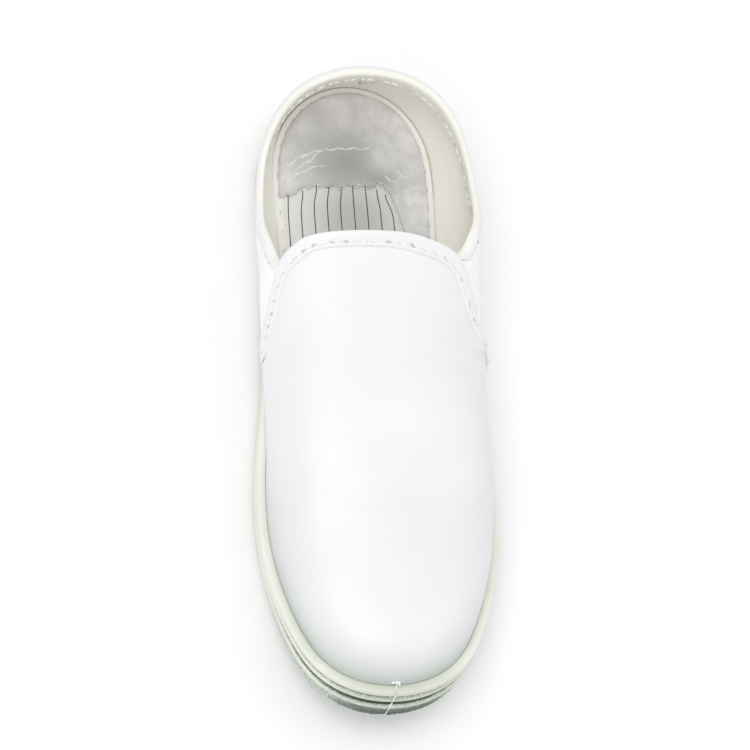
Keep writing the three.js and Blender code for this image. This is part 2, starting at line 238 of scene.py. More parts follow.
# %% Edges of the leather
# Columns: share of the length from the heel, then the height as a share of the side's and of the heel's.
TOPLINE = np.array([
    (-0.06, 0.0, 1.0),
    (0.03, 0.0, 0.985),
    (0.1, 0.354, 0.6),
    (0.17, 0.802, 0.15),
    (0.24, 0.992, 0.0),
    (0.295, 1.12, 0.0),
    (0.34, 1.19, 0.0),
    (0.375, 1.45, 0.0),
])
# Columns: the same, with the last one a share of the instep's rise over the side.
VAMP_EDGE = np.array([
    (0.305, 1.0, 2.0),
    (0.309, 1.0, 1.1),
    (0.324, 1.0, 0.75),
    (0.348, 1.0, 0.4),
    (0.385, 1.0, 0.05),
    (0.43, 0.82, 0.0),
    (0.456, 0.6, 0.0),
    (0.474, 0.4, 0.0),
    (0.486, 0.1, 0.0),
])
SPAN_STEPS = 24
THROAT_TURN = 1.07


def smooth_line(points):
    """Curve through given points: each span is a cubic whose end slopes are half its neighbours' chord."""
    padded = np.concatenate([points[:1], points, points[-1:]])[:, None, :]
    before, start, end, after = padded[:-3], padded[1:-2], padded[2:-1], padded[3:]
    slope_in = (end - before) / 2
    slope_out = (after - start) / 2
    t = np.linspace(0, 1, SPAN_STEPS, endpoint=False)[None, :, None]
    cubic = 2 * start - 2 * end + slope_in + slope_out
    square = 3 * end - 3 * start - 2 * slope_in - slope_out
    curve = cubic * t ** 3 + square * t ** 2 + slope_in * t + start
    return np.concatenate([curve.reshape(-1, points.shape[1]), points[-1:]])


topline = smooth_line(TOPLINE @ np.array([[SOLE_LENGTH, 0], [0, SIDE_HEIGHT], [0, HEEL_HEIGHT]]))
vamp_edge = smooth_line(
    VAMP_EDGE @ np.array([[SOLE_LENGTH, 0], [0, SIDE_HEIGHT], [0, INSTEP_HEIGHT - SIDE_HEIGHT]])
)


def moved(line, distance):
    """Line in the side view moved square to itself, forwards or up."""
    along = unit(np.gradient(line, axis=0))
    return line + distance * np.stack([-along[:, 1], along[:, 0]], -1)


def past_vamp_edge(x, s, z, distance=0.0):
    """How far a point lies in front of the vamp edge, when that edge is moved forwards by a distance."""
    line = moved(vamp_edge, distance)
    level = z - INNER_RISE * x / UPPER_WIDTH
    return s - np.interp(-level, -line[:, 1], line[:, 0])


def above_topline(x, s, z, distance=0.0):
    """How far a point lies above the topline, when that line is moved down by a distance."""
    line = moved(topline, -distance)
    level = z - INNER_RISE * x / UPPER_WIDTH
    return level - np.interp(s, line[:, 0], line[:, 1])


def halving(test, low, high):
    """Where a test turns positive between low and high, found by halving the span forty times."""
    for _ in range(40):
        middle = (low + high) / 2
        beyond = test(middle) > 0
        high = np.where(beyond, middle, high)
        low = np.where(beyond, low, middle)
    return (low + high) / 2


throat = last_skin(np.array([THROAT_TURN]), np.array([np.pi / 2]))
print("Ridge at the throat:", [round(float(value[0]), 1) for value in throat])

# %% [markdown]
# ## Meshes from grids
#
# Every new piece is a grid of points, so whole arrays give it at once. Rings of points are joined to their
# neighbours by quads, and where a ring folds flat or shrinks to a point, merging the doubles closes the
# surface. The sign of the enclosed volume tells whether the faces point outwards.

# %% Meshes from grids
def ring_faces(rings, around, along):
    """Quads between neighbouring rings. around closes each ring, along joins the last ring to the first."""
    count, size = rings.shape[:2]
    index = np.arange(count * size).reshape(count, size)
    if around:
        index = np.concatenate([index, index[:, :1]], axis=1)
    if along:
        index = np.concatenate([index, index[:1]], axis=0)
    return np.stack([index[:-1, :-1], index[:-1, 1:], index[1:, 1:], index[1:, :-1]], -1)


def there_and_back(outside, inside):
    """Rings that run over one skin and come back over the other."""
    return np.concatenate([outside, inside[:, ::-1]], 1)


def stacked(rings):
    """x, distance and height from rings that are each an outline with its heights."""
    x = np.stack([plan[:, 0] for plan, _ in rings], 1)
    s = np.stack([plan[:, 1] for plan, _ in rings], 1)
    return x, s, np.stack([height for _, height in rings], 1)


def new_mesh(name, points, faces):
    """Mesh from points in millimetres, moved to the part's place and turned to metres."""
    mesh = bpy.data.meshes.new(name)
    mesh.from_pydata(((points.reshape(-1, 3) + PLACE) / 1000).tolist(), [], faces)
    return mesh


def mount(name, mesh, finishes, nodes=()):
    """Object of a mesh with its finishes, on the part's body, in place of the solids that it dresses."""
    mesh.shade_smooth()
    for finish in finishes:
        mesh.materials.append(finish)
    piece = bpy.data.objects.new(name, mesh)
    bpy.context.scene.collection.objects.link(piece)
    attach(piece, "root")
    if nodes:
        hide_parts(*nodes)
    return piece


def add_piece(name, rings, finishes, nodes, around=True, along=False,
              caps=False, inner_from=None, marks=None):
    """Closed piece from rings. Faces from column inner_from on take the second finish."""
    quads = ring_faces(rings, around, along)
    kinds = np.zeros(quads.shape[:2], dtype=int)
    if inner_from is not None:
        kinds[:, inner_from:] = 1
    faces = quads.reshape(-1, 4).tolist()
    face_kinds = kinds.reshape(-1).tolist()
    if caps:
        count, size = rings.shape[:2]
        faces += [list(range(size)), list(range(count * size - 1, count * size - size - 1, -1))]
        face_kinds += [face_kinds[0], face_kinds[-1]]
    mesh = new_mesh(name, rings, faces)
    mesh.polygons.foreach_set("material_index", face_kinds)
    if marks is not None:
        mark = mesh.attributes.new("mark", "FLOAT", "POINT")
        mark.data.foreach_set("value", marks.reshape(-1).astype(np.float32))
    shaped = bmesh.new()
    shaped.from_mesh(mesh)
    bmesh.ops.remove_doubles(shaped, verts=shaped.verts, dist=2e-6)
    bmesh.ops.dissolve_degenerate(shaped, edges=shaped.edges, dist=1e-7)
    if shaped.calc_volume(signed=True) < 0:
        bmesh.ops.reverse_faces(shaped, faces=shaped.faces)
    open_edges = sum(1 for edge in shaped.edges if len(edge.link_faces) != 2)
    shaped.to_mesh(mesh)
    shaped.free()
    piece = mount(name, mesh, finishes, nodes)
    triangles = sum(len(face.vertices) - 2 for face in mesh.polygons)
    print(f"{name}: {triangles} triangles, {open_edges} open edges")
    return piece


# %% [markdown]
# ## Finishes
#
# Colours are given as sRGB hex values and turned to linear light by one function. Patterns read Object
# coordinates, in metres, so a pattern of a given size in millimetres has a scale of 1000 over that size.

# %% Helpers for finishes
def linear(code):
    """Linear colour from an sRGB hex value."""
    values = np.array([int(code[k:k + 2], 16) for k in (1, 3, 5)]) / 255
    light = np.where(values <= 0.04045, values / 12.92, ((values + 0.055) / 1.055) ** 2.4)
    return (*light.tolist(), 1.0)


def per_mm(size):
    """Scale of a pattern whose cells are a size in millimetres."""
    return 1000 / size


def add_node(tree, kind, inputs=None, **settings):
    """Adds a node, sets its own settings, and fills its sockets with values or links."""
    node = tree.nodes.new(kind)
    for key, value in settings.items():
        setattr(node, key, value)
    for socket, value in (inputs or {}).items():
        if isinstance(value, bpy.types.NodeSocket):
            tree.links.new(value, node.inputs[socket])
        else:
            node.inputs[socket].default_value = value
    return node


def new_finish(name, **sockets):
    """Material whose Principled shader has its constant sockets set, and its Object coordinates."""
    finish = bpy.data.materials.new(name)
    finish.use_nodes = True
    tree = finish.node_tree
    shader = tree.nodes["Principled BSDF"]
    for socket, value in sockets.items():
        shader.inputs[socket.replace("_", " ")].default_value = value
    place = add_node(tree, "ShaderNodeTexCoord").outputs["Object"]
    return finish, tree, shader, place


def noise(tree, place, size, detail=2.0, roughness=0.5):
    """Noise whose cells are a size in millimetres."""
    return add_node(tree, "ShaderNodeTexNoise", {
        "Vector": place, "Scale": per_mm(size), "Detail": detail, "Roughness": roughness,
    }).outputs["Fac"]


def spread(tree, value, low, high, low_to=0.0, high_to=1.0):
    """Value carried straight from one range to another and held at both ends."""
    return add_node(tree, "ShaderNodeMapRange", {
        "Value": value, "From Min": low, "From Max": high, "To Min": low_to, "To Max": high_to,
    }).outputs["Result"]


def waves(tree, place, reach, direction, **sockets):
    """Bands that follow the sine of the place over a reach in millimetres."""
    inputs = {"Vector": place, "Scale": per_mm(reach) / 20}
    inputs.update(sockets)
    return add_node(tree, "ShaderNodeTexWave", inputs, bands_direction=direction).outputs["Fac"]


def mark_of(tree):
    """The value that a piece carries at each point."""
    return add_node(tree, "ShaderNodeAttribute", attribute_name="mark").outputs["Fac"]


def blend(tree, factor, first, second):
    """Mix of two colours, each a value or a link."""
    mix = add_node(tree, "ShaderNodeMix", {"Factor": factor}, data_type="RGBA")
    for socket, value in ((mix.inputs[6], first), (mix.inputs[7], second)):
        if isinstance(value, bpy.types.NodeSocket):
            tree.links.new(value, socket)
        else:
            socket.default_value = value
    return mix.outputs[2]


def emboss(tree, shader, height, depth_mm, strength=1.0, below=None):
    """Bump of a real depth, laid over another bump where one is given."""
    inputs = {"Height": height, "Distance": depth_mm / 1000, "Strength": strength}
    if below is not None:
        inputs["Normal"] = below
    bump = add_node(tree, "ShaderNodeBump", inputs).outputs["Normal"]
    tree.links.new(bump, shader.inputs["Normal"])
    return bump


# %% [markdown]
# ### Coated leather
#
# The upper is microfibre leather with a polyurethane coat, embossed with a very fine grain. The coat gives
# the eye a wide, soft gloss. A picture of leather could be laid on it, but a grain of cells 0.75 mm wide,
# very shallow, breaks up the highlight alike on every piece. The mark, from 0 to 1, turns it to a grey
# painted shade, which the vamp carries by the rim of the toe.

# %% Coated leather
def make_leather(name, light, shade, grain_depth, painted_shade="#BFC7C0"):
    """Two tones in clouds of 60 mm, gloss in patches of 9 mm, cells of grain and slow waves of 14 mm."""
    finish, tree, shader, place = new_finish(name, Roughness=0.42, IOR=1.48)
    shader.inputs["Coat Weight"].default_value = 0.12
    shader.inputs["Coat Roughness"].default_value = 0.35
    clouds = spread(tree, noise(tree, place, 60, 2.0), 0.35, 0.65)
    clean = blend(tree, clouds, linear(light), linear(shade))
    # The mark blends the leather to a grey painted shade.
    tree.links.new(blend(tree, mark_of(tree), clean, linear(painted_shade)), shader.inputs["Base Color"])
    gloss = spread(tree, noise(tree, place, 9, 3.0), 0.3, 0.7, 0.37, 0.46)
    tree.links.new(gloss, shader.inputs["Roughness"])
    cells = add_node(tree, "ShaderNodeTexVoronoi", {
        "Vector": place, "Scale": per_mm(0.75), "Randomness": 0.9,
    }, feature="DISTANCE_TO_EDGE").outputs["Distance"]
    grain = emboss(tree, shader, spread(tree, cells, 0.0, 0.3), grain_depth)
    emboss(tree, shader, noise(tree, place, 14, 2.0), 0.12, below=grain)
    return finish


vamp_leather = make_leather("coated microfibre leather, white", "#F0EFF0", "#E9E8EA", 0.018)
# The quarters' leather is the vamp's, painted lighter: painted light.
lighter_quarter_leather = make_leather("coated microfibre leather, quarters, painted lighter", "#FAFBF9", "#F2F4F2", 0.018)
binding_leather = make_leather("folded coated leather binding", "#F0F0F1", "#EAEBEB", 0.012)
collar_facing = make_leather("coated leather facing, cream", "#F7F5EC", "#F1EFE5", 0.012)

# %% [markdown]
# ### Lining
#
# Inside, the upper is lined with a cream knitted cloth, matt and slightly warm, with a faint sheen from its
# loops. Its knit is finer than the render can show, so slower ribs, 5.7 mm apart, only wake the surface.

# %% Lining
def make_lining():
    """Two tones in clouds of 25 mm, and ribs as the sine of the height over 0.9 mm."""
    finish, tree, shader, place = new_finish("cream knitted lining", Roughness=0.8, IOR=1.45)
    shader.inputs["Sheen Weight"].default_value = 0.25
    shader.inputs["Sheen Roughness"].default_value = 0.4
    tone = spread(tree, noise(tree, place, 25, 3.0), 0.3, 0.7)
    tree.links.new(blend(tree, tone, linear("#FDFAF1"), linear("#F7F4EA")), shader.inputs["Base Color"])
    emboss(tree, shader, waves(tree, place, 0.9, "Z", Distortion=0.6, Detail=2.0), 0.05)
    return finish


lining_cloth = make_lining()

# %% [markdown]
# ### Moulded vinyl
#
# The sole is one moulding of soft PVC, ivory, with a satin mould finish. A little light enters it, so its
# edges look soft. The mark tells what the mould does at each point: 0 is smooth and 1 is stippled. Past 1
# it is painted shade: towards 2 a groove lies deep in painted shade, and so does the foot of the toe's tip.
# Stippled ground is drawn as pebbles 1.1 mm wide, greener between them; its darker green is partly painted
# shade under the rim. The rim and the smooth ground also darken towards the tip of the toe, a painted shade.

# %% Moulded vinyl
# Where the painted shade on the smooth ground begins towards the toe, and where it is full, in metres along
# the frame.
TOE_PAINTED_SHADE = (-0.125, -0.144)


def make_sole_vinyl():
    """Tones by the mark, painted shade towards the tip of the toe, with pebbles only where the mark is over
    0.
    """
    finish, tree, shader, place = new_finish("moulded soft PVC, ivory", Roughness=0.5, IOR=1.53)
    shader.inputs["Subsurface Weight"].default_value = 0.06
    shader.inputs["Subsurface Radius"].default_value = (0.004, 0.003, 0.002)
    mark = mark_of(tree)
    tone = spread(tree, noise(tree, place, 18, 3.0), 0.35, 0.65)
    clean = blend(tree, tone, linear("#EFEFE5"), linear("#E8E9DC"))
    along = add_node(tree, "ShaderNodeSeparateXYZ", {"Vector": place}).outputs["Y"]
    # The smooth ground turns darker and greener towards the tip of the toe: painted shade.
    smooth = blend(tree, spread(tree, along, *TOE_PAINTED_SHADE), clean, linear("#CFD2C3"))
    grit = spread(tree, noise(tree, place, 1.1, 3.0, 0.6), 0.42, 0.6)
    rough = blend(tree, grit, linear("#9AA799"), linear("#DFE5D9"))
    moulded = blend(tree, mark, smooth, rough)
    # Marks past 1 blend to a dark green: painted shade in the grooves and at the foot of the toe.
    deep = spread(tree, mark, 1.0, 2.0)
    tree.links.new(blend(tree, deep, moulded, linear("#3F4D3E")), shader.inputs["Base Color"])
    fine = emboss(tree, shader, noise(tree, place, 0.7, 2.0), 0.02)
    stippled = spread(tree, mark, 0.0, 1.0)
    pebbles = add_node(tree, "ShaderNodeMath", {0: stippled, 1: grit}, operation="MULTIPLY").outputs["Value"]
    emboss(tree, shader, pebbles, 0.22, below=fine)
    tree.links.new(spread(tree, mark, 0.0, 1.0, 0.45, 0.62), shader.inputs["Roughness"])
    return finish


sole_vinyl = make_sole_vinyl()

# %% [markdown]
# ### Insole cloth, heel pad and threads
#
# The insole is faced with a light grey brushed knit. The heel pad is a soft nonwoven, pressed unevenly, so
# it looks mottled and quite matt. One function makes both cloths: patches, then finer flecks of fibre. Their
# mark runs from -1, soiled, over 0 to 1, white, and on the pad's creases the white is a painted highlight.
# The threads that carry static away are black carbon yarn, and all sewing thread is white, with a twist whose
# turns from the light are painted shade as well as bump.

# %% Insole cloth, heel pad and threads
def make_cloth(name, colours, blotch, fibre, depth, contrast=(0.35, 0.65)):
    """Cloth of five colours: two for the patches, one each for flecks, white and soil. Sizes in mm. White on
    the pad's creases is a painted highlight.
    """
    patch, other_patch, fleck, white, soil = (linear(colour) for colour in colours)
    finish, tree, shader, place = new_finish(name, Roughness=0.9, IOR=1.45)
    shader.inputs["Sheen Weight"].default_value = 0.3
    shader.inputs["Sheen Roughness"].default_value = 0.5
    patches = spread(tree, noise(tree, place, blotch, 3.0, 0.55), *contrast)
    base = blend(tree, patches, patch, other_patch)
    flecks = spread(tree, noise(tree, place, fibre, 4.0, 0.7), 0.3, 0.75, 0.0, 0.55)
    cloth = blend(tree, flecks, base, fleck)
    mark = mark_of(tree)
    soiled = blend(tree, spread(tree, mark, 0.0, -1.0), cloth, soil)
    # A mark towards 1 turns the cloth white: on the pad's creases a painted highlight.
    tree.links.new(blend(tree, mark, soiled, white), shader.inputs["Base Color"])
    emboss(tree, shader, noise(tree, place, fibre, 3.0, 0.6), depth)
    return finish


def make_thread(name, colour, roughness):
    """Thread whose twist is a diagonal wave: it darkens the colour to six tenths, a painted shade, and lifts
    the surface.
    """
    finish, tree, shader, place = new_finish(name, Roughness=roughness, IOR=1.5)
    twist = waves(tree, place, 0.7, "DIAGONAL", Distortion=1.0)
    bright = linear(colour)
    dark = tuple(0.6 * value for value in bright[:3]) + (1.0,)
    tree.links.new(blend(tree, spread(tree, twist, 0.0, 0.5), dark, bright), shader.inputs["Base Color"])
    emboss(tree, shader, twist, 0.05)
    return finish


knit_colours = ("#EDECE8", "#E5E4E0", "#F2F1ED", "#F7F6F0", "#BFBEBA")
felt_colours = ("#D9D7D6", "#F2F0EF", "#D6D4D2", "#FFFFFE", "#9F9D9B")
insole_knit = make_cloth("brushed knit, light grey", knit_colours, 12, 0.9, 0.08)
pad_felt = make_cloth("soft nonwoven, mottled grey", felt_colours, 9, 1.0, 0.14, (0.4, 0.62))
carbon_yarn = make_thread("black carbon yarn", "#444446", 0.6)
white_thread = make_thread("white polyester thread", "#FAFAF8", 0.55)
# Grey dots at the needle holes of the throat strip are painted shadow.
hole_shade = make_thread("painted shadow in the needle holes", "#B9BCBB", 0.7)

# %% [markdown]
# ## The cup sole
#
# The side of the sole is a profile carried round the outline. It starts on the floor of the cup, climbs the
# cup, crosses the ledge, and runs down over the rim band, a groove, the middle rib, a second groove, the
# lower wall and the bevel to a thin lip. Bands drawn only as bump would be flat at the outline, where the
# photograph shows them, so every level is a ring of points. It has a distance in from the rim's outline, and
# a height under the rim or over the floor.

# %% Profile of the sole's side
# Columns: distance in, and height. The first rows count down from the rim, the others up from the floor.
SIDE_PROFILE = np.array([
    (0.95, 0.0), (0.5, 0.08), (0.2, 0.3), (0.05, 0.65), (0.0, 1.1), (-0.05, 2.2), (0.0, 3.5), (0.1, 3.85),
    (0.4, 4.1), (1.2, 4.3), (1.65, 4.55), (1.75, 4.75), (1.65, 4.95), (1.3, 5.15), (0.85, 5.35), (0.55, 5.6),
    (0.45, 6.1), (0.38, 7.5), (0.45, 8.9), (0.6, 9.4), (0.95, 9.65), (1.6, 9.85), (2.0, 10.1), (2.1, 10.3),
    (2.0, 10.5), (1.6, 10.75), (1.1, 11.0), (0.9, 11.5), (1.0, 12.4), (1.1, 12.7),
    (1.3, 5.0), (1.45, 3.8), (1.7, 3.1), (2.4, 2.5), (3.9, 1.6), (5.6, 0.95), (5.8, 0.75), (5.85, 0.3),
    (6.1, 0.05), (6.6, 0.0), (7.0, 0.05), (7.15, 0.4), (7.25, 0.9), (7.9, 0.95), (8.3, 1.4), (8.4, 4.5),
])
RIM_ROWS = 30
FROM_RIM = np.arange(len(SIDE_PROFILE)) < RIM_ROWS
# Round the toe the bands run closer together and the grooves are wider. The same rows, down to the wall.
TOE_PROFILE = np.concatenate([np.array([
    (0.95, 0.0), (0.5, 0.08), (0.2, 0.3), (0.05, 0.65), (0.0, 1.0), (-0.05, 1.6), (0.0, 2.1), (0.1, 2.35),
    (0.4, 2.6), (1.3, 2.85), (1.9, 3.2), (2.05, 4.0), (1.9, 4.8), (1.4, 5.15), (0.85, 5.35), (0.55, 5.55),
    (0.45, 5.85), (0.4, 6.3), (0.45, 6.8), (0.7, 7.1), (1.3, 7.35), (1.9, 7.7), (2.25, 8.2), (2.35, 8.9),
    (2.2, 9.5), (1.6, 9.85), (0.7, 10.0), (0.3, 10.25), (0.3, 11.6), (1.0, 11.85),
]), SIDE_PROFILE[RIM_ROWS:]])
TOE_PROFILE_START = 0.72
TOE_PROFILE_FULL = 0.93
TREAD_REAR = 137
HEEL_BREAST = 78
ARCH_RISE = 2.8
ARCH_STEP = 2
ARCH_RAMP = 11
SLAB_TOP = 5
# Marks round the sole: everywhere, added round the toe, and added at the tip of the toe. The last one of the
# grooves is added to every row under the rim band. Where a sum passes 1 it is painted shade.
GROOVE_MARKS = (1.1, 0.6, 0.35)
WALL_MARKS = (0.35, 0.4, 0.75)
LIP_MARK = 0.75
GROOVE_DEPTH = 1.35
GROOVE_DEPTH_REACH = 0.8
TOE_MARKED = 0.86
TOE_MARKED_REACH = 0.16
TIP_MARKED = 0.975
TIP_MARKED_REACH = 0.045
# Rows of the profile: the first one under the rim band, and the one between lip and wall.
BAND_ROWS = 14
LIP_FOOT = 29
ROUND_STEPS = 900
STIPPLE_GRAIN = 0.13
CUP_GAP = 0.06
CUP_ROUND = 0.4
CUP_UNDERSIDE = 4.5


def step_up(value, at, soft=0.3):
    """0 below a line and 1 above it: t squared times (3 - 2 t), with t from 0 to 1 over the soft width."""
    t = np.clip((value - at) / soft + 0.5, 0, 1)
    return t * t * (3 - 2 * t)


def band(value, low, high, soft=0.3):
    """1 between two lines and 0 outside: a step up at the first times one less a step up at the second."""
    return step_up(value, low, soft) * (1 - step_up(value, high, soft))


def arch(s):
    """Height of the waist over the floor: a step at the tread, a ramp, a flat, and a ramp to the heel."""
    corners = (HEEL_BREAST, HEEL_BREAST + ARCH_RAMP, TREAD_REAR - ARCH_RAMP, TREAD_REAR, TREAD_REAR + 0.05)
    return np.interp(s, corners, (0, ARCH_RISE, ARCH_RISE, ARCH_STEP, 0))


def sole_side(turn):
    """Rings of the sole's side: the outline moved in by each level's distance, at that level's height.

    The levels turn smoothly from the side's into the toe's, and a grain roughens the foot of the toe.
    """
    turn = turn[:, None]
    share = length_share(turn)
    toe = step_up(share, (TOE_PROFILE_START + TOE_PROFILE_FULL) / 2, TOE_PROFILE_FULL - TOE_PROFILE_START)
    level = SIDE_PROFILE + (TOE_PROFILE - SIDE_PROFILE) * toe[..., None]
    grain = np.random.default_rng(7).normal(0, STIPPLE_GRAIN, level.shape[:2])
    rough = toe * ~FROM_RIM * (SIDE_PROFILE[:, 1] > 0.5) * (SIDE_PROFILE[:, 0] < 6)
    plan = inset(sole_plan, turn + 0 * SIDE_PROFILE[:, 0], level[..., 0] + grain * rough)
    height = np.where(FROM_RIM, rim_height(share) - level[..., 1], SIDE_PROFILE[:, 1])
    return plan[..., 0], plan[..., 1], np.maximum(height, arch(plan[..., 1]))


def side_marks(share):
    """Mark of each point of the side: grooves by their depth, the low wall whole, and the lip's foot; past 1
    it is painted shade.
    """
    toe = step_up(share, TOE_MARKED, TOE_MARKED_REACH)[:, None]
    tip = step_up(share, TIP_MARKED, TIP_MARKED_REACH)[:, None]
    deep = step_up(SIDE_PROFILE[:, 0], GROOVE_DEPTH, GROOVE_DEPTH_REACH) * FROM_RIM
    marks = (GROOVE_MARKS[0] + GROOVE_MARKS[1] * toe) * deep
    marks[:, BAND_ROWS:] += GROOVE_MARKS[2] * tip
    marks += (WALL_MARKS[0] + WALL_MARKS[1] * toe + WALL_MARKS[2] * tip) * ~FROM_RIM
    marks[:, LIP_FOOT] = (LIP_MARK * toe + LIP_MARK * tip)[:, 0]
    marks[:, 0] = 0
    return marks


def make_cup_sole():
    """Rings from the spine over the floor, up the cup, down the side, and back to the spine underneath."""
    turn = np.linspace(0, 2 * np.pi, ROUND_STEPS, endpoint=False)
    cup = inset(sole_plan, turn, ledge(turn) - CUP_GAP)
    cup_round = inset(sole_plan, turn, ledge(turn) - CUP_GAP - CUP_ROUND)
    middle = spine(turn)
    share = length_share(turn)
    bed = bed_height(share)
    rim = rim_height(share)
    inside = [(middle, bed), (cup, bed), (cup, (bed + rim) / 2), (cup, rim - 0.35), (cup_round, rim)]
    underneath = [(middle, np.full(len(turn), CUP_UNDERSIDE))]
    parts = zip(stacked(inside), sole_side(turn), stacked(underneath))
    x, s, z = (np.concatenate(part, 1) for part in parts)
    marks = np.pad(side_marks(share), ((0, 0), (len(inside), len(underneath))))
    add_piece("cup_sole", rolled(x, s, z), [sole_vinyl], ["outsole"],
              around=False, along=True, marks=marks)


make_cup_sole()

# %% [markdown]
# ## The tread
#
# The tread is a height field on a fine grid: a row of points across the sole for each step along it. Its
# relief is a sum of soft steps in real millimetres. Slots between the side blocks are closed pockets, a
# groove and a smooth ridge border the oval, and inside it run scalloped bars. The waist between the treads
# is smooth. One surface is lighter than hundreds of blocks joined to a slab, and it stays closed.

# %% Relief of the tread
BLOCK_PITCH = 9
BLOCK_LENGTH = 15
BLOCK_BORDER = 1.8
SLOT_WIDTH = 2
SLOT_DEPTH = 2.2
OVAL_GROOVE = 1.4
OVAL_DEPTH = 1.5
OVAL_RIDGE = 1.8
TOE_CRESCENT = 30
HEEL_CRESCENT = 16
BAR_PITCH = 6
BAR_LOBE = 6.5
BAR_DEPTH = 0.9
BAR_HALF = 0.45
BAR_REACH = 2.5
PIMPLES_ROUND = 40
PIMPLE_BANDS = ((4, 5.6), (9, 10.6))
PIMPLE_SOFT = 0.6
TREAD_END_SOFT = 0.1
SPECKLE_DEPTH = 0.5
TREAD_INSET = 7.9
TREAD_EDGE = 0.9
TREAD_ROWS = 400
TREAD_END_ROWS = 100
TREAD_COLUMNS = 132
TREAD_MARK = 0.8


def edge_distance(points, border):
    """Shortest distance from each point to the straight stretches of a border."""
    start = border[:-1]
    reach = border[1:] - start
    size = (reach ** 2).sum(1)
    nearest = []
    for part in np.array_split(points, 24):
        t = np.clip(((part[:, None] - start) * reach).sum(2) / size, 0, 1)
        foot = start + t[..., None] * reach
        nearest.append(np.sqrt(((part[:, None] - foot) ** 2).sum(2).min(1)))
    return np.concatenate(nearest)


def side_slots(s, inside, first, last):
    """Slots square to the length, one each pitch, between the border and the oval's band."""
    count = np.clip(np.round((s - first) / BLOCK_PITCH), 0, np.floor((last - first) / BLOCK_PITCH))
    off_slot = np.abs(s - first - BLOCK_PITCH * count)
    across = band(inside, BLOCK_BORDER, BLOCK_BORDER + BLOCK_LENGTH)
    return SLOT_DEPTH * across * (1 - step_up(off_slot, SLOT_WIDTH / 2))


def scalloped_bars(x, s):
    """Bars each pitch along the length, with half discs turned to the front and to the rear by turns."""
    off_bar = (s / BAR_PITCH - np.round(s / BAR_PITCH)) * BAR_PITCH
    lobe = BAR_REACH * np.sqrt(np.abs(np.sin(np.pi * x / BAR_LOBE)))
    forward = np.floor(x / BAR_LOBE) % 2 > 0
    high = np.where(forward, lobe, BAR_HALF)
    low = np.where(forward, -BAR_HALF, -lobe)
    return BAR_DEPTH * (1 - band(off_bar, low, high))


def tread_relief(x, s, inside):
    """Height of the tread's face over the floor, before the toe is rolled."""
    front = step_up(s, TREAD_REAR, TREAD_END_SOFT)
    rear = 1 - step_up(s, HEEL_BREAST, TREAD_END_SOFT)
    inner = BLOCK_BORDER + BLOCK_LENGTH + BLOCK_BORDER
    slots = front * side_slots(s, inside, TREAD_REAR + BLOCK_PITCH / 2, SOLE_LENGTH - TOE_CRESCENT)
    slots += rear * side_slots(s, inside, HEEL_CRESCENT, HEEL_BREAST - BLOCK_PITCH / 2)
    oval = band(inside, inner, inner + OVAL_GROOVE) * OVAL_DEPTH
    field = step_up(inside, inner + OVAL_GROOVE + OVAL_RIDGE) * scalloped_bars(x, s)
    crescent = step_up(s, SOLE_LENGTH - TOE_CRESCENT + BLOCK_PITCH)
    crescent += 1 - step_up(s, HEEL_CRESCENT - BLOCK_PITCH / 2)
    angle = np.arctan2(x, np.abs(s - SOLE_LENGTH / 2) - SOLE_LENGTH / 2 + 2 * TOE_CRESCENT)
    pimples = step_up(np.cos(angle * PIMPLES_ROUND), 0.2, PIMPLE_SOFT)
    pimples *= sum(band(inside, low, high, PIMPLE_SOFT) for low, high in PIMPLE_BANDS)
    speckled = crescent * band(inside, BLOCK_BORDER, inner - BLOCK_BORDER) * SPECKLE_DEPTH * (1 - pimples)
    return np.maximum(arch(s), (front + rear) * (slots + oval + field + speckled))


# %% The tread
def make_tread():
    """Rows between both sides of the border, closer together at the ends, each closed by the slab's top."""
    turn = np.linspace(0, np.pi, 361)
    right = inset(sole_plan, turn, np.full(turn.shape, TREAD_INSET))
    left = inset(sole_plan, -turn, np.full(turn.shape, TREAD_INSET))
    start = max(right[0, 1], left[0, 1])
    end = min(right[-1, 1], left[-1, 1])
    rounded = (start + end) / 2 - (end - start) / 2 * np.cos(np.linspace(0, np.pi, TREAD_END_ROWS))
    s = np.union1d(np.linspace(start, end, TREAD_ROWS), rounded)[:, None]
    x_right = np.interp(s, right[:, 1], right[:, 0])
    x_left = np.interp(s, left[:, 1], left[:, 0])
    x = x_left + (x_right - x_left) * np.linspace(0, 1, TREAD_COLUMNS)
    s = np.broadcast_to(s, x.shape)
    border = np.concatenate([right[::2], left[::-2]])
    inside = edge_distance(np.stack([x, s], -1).reshape(-1, 2), border).reshape(x.shape) + TREAD_EDGE
    z = tread_relief(x, s, inside - TREAD_EDGE)
    ring_x = np.concatenate([x, x[:, -1:], x[:, :1]], 1)
    ring_s = np.concatenate([s, s[:, :2]], 1)
    ring_z = np.concatenate([z, np.full((len(x), 2), SLAB_TOP)], 1)
    print("tread relief up to", round(float(z.max()), 2), "mm")
    add_piece("tread", rolled(ring_x, ring_s, ring_z), [sole_vinyl], ["outsole"],
              marks=np.full(ring_x.shape, TREAD_MARK))


make_tread()

# %% [markdown]
# ## The vamp
#
# The vamp is the leather over the toes and the instep. It is one sheet with a lining, in front of the vamp
# edge. Each ring of its grid runs from foot to foot over the ridge on the outside, and back on the inside.
# Noise would crumple it like paper, so troughs and swells, given in the shoe's own length and width,
# make it look pulled over the last by hand.

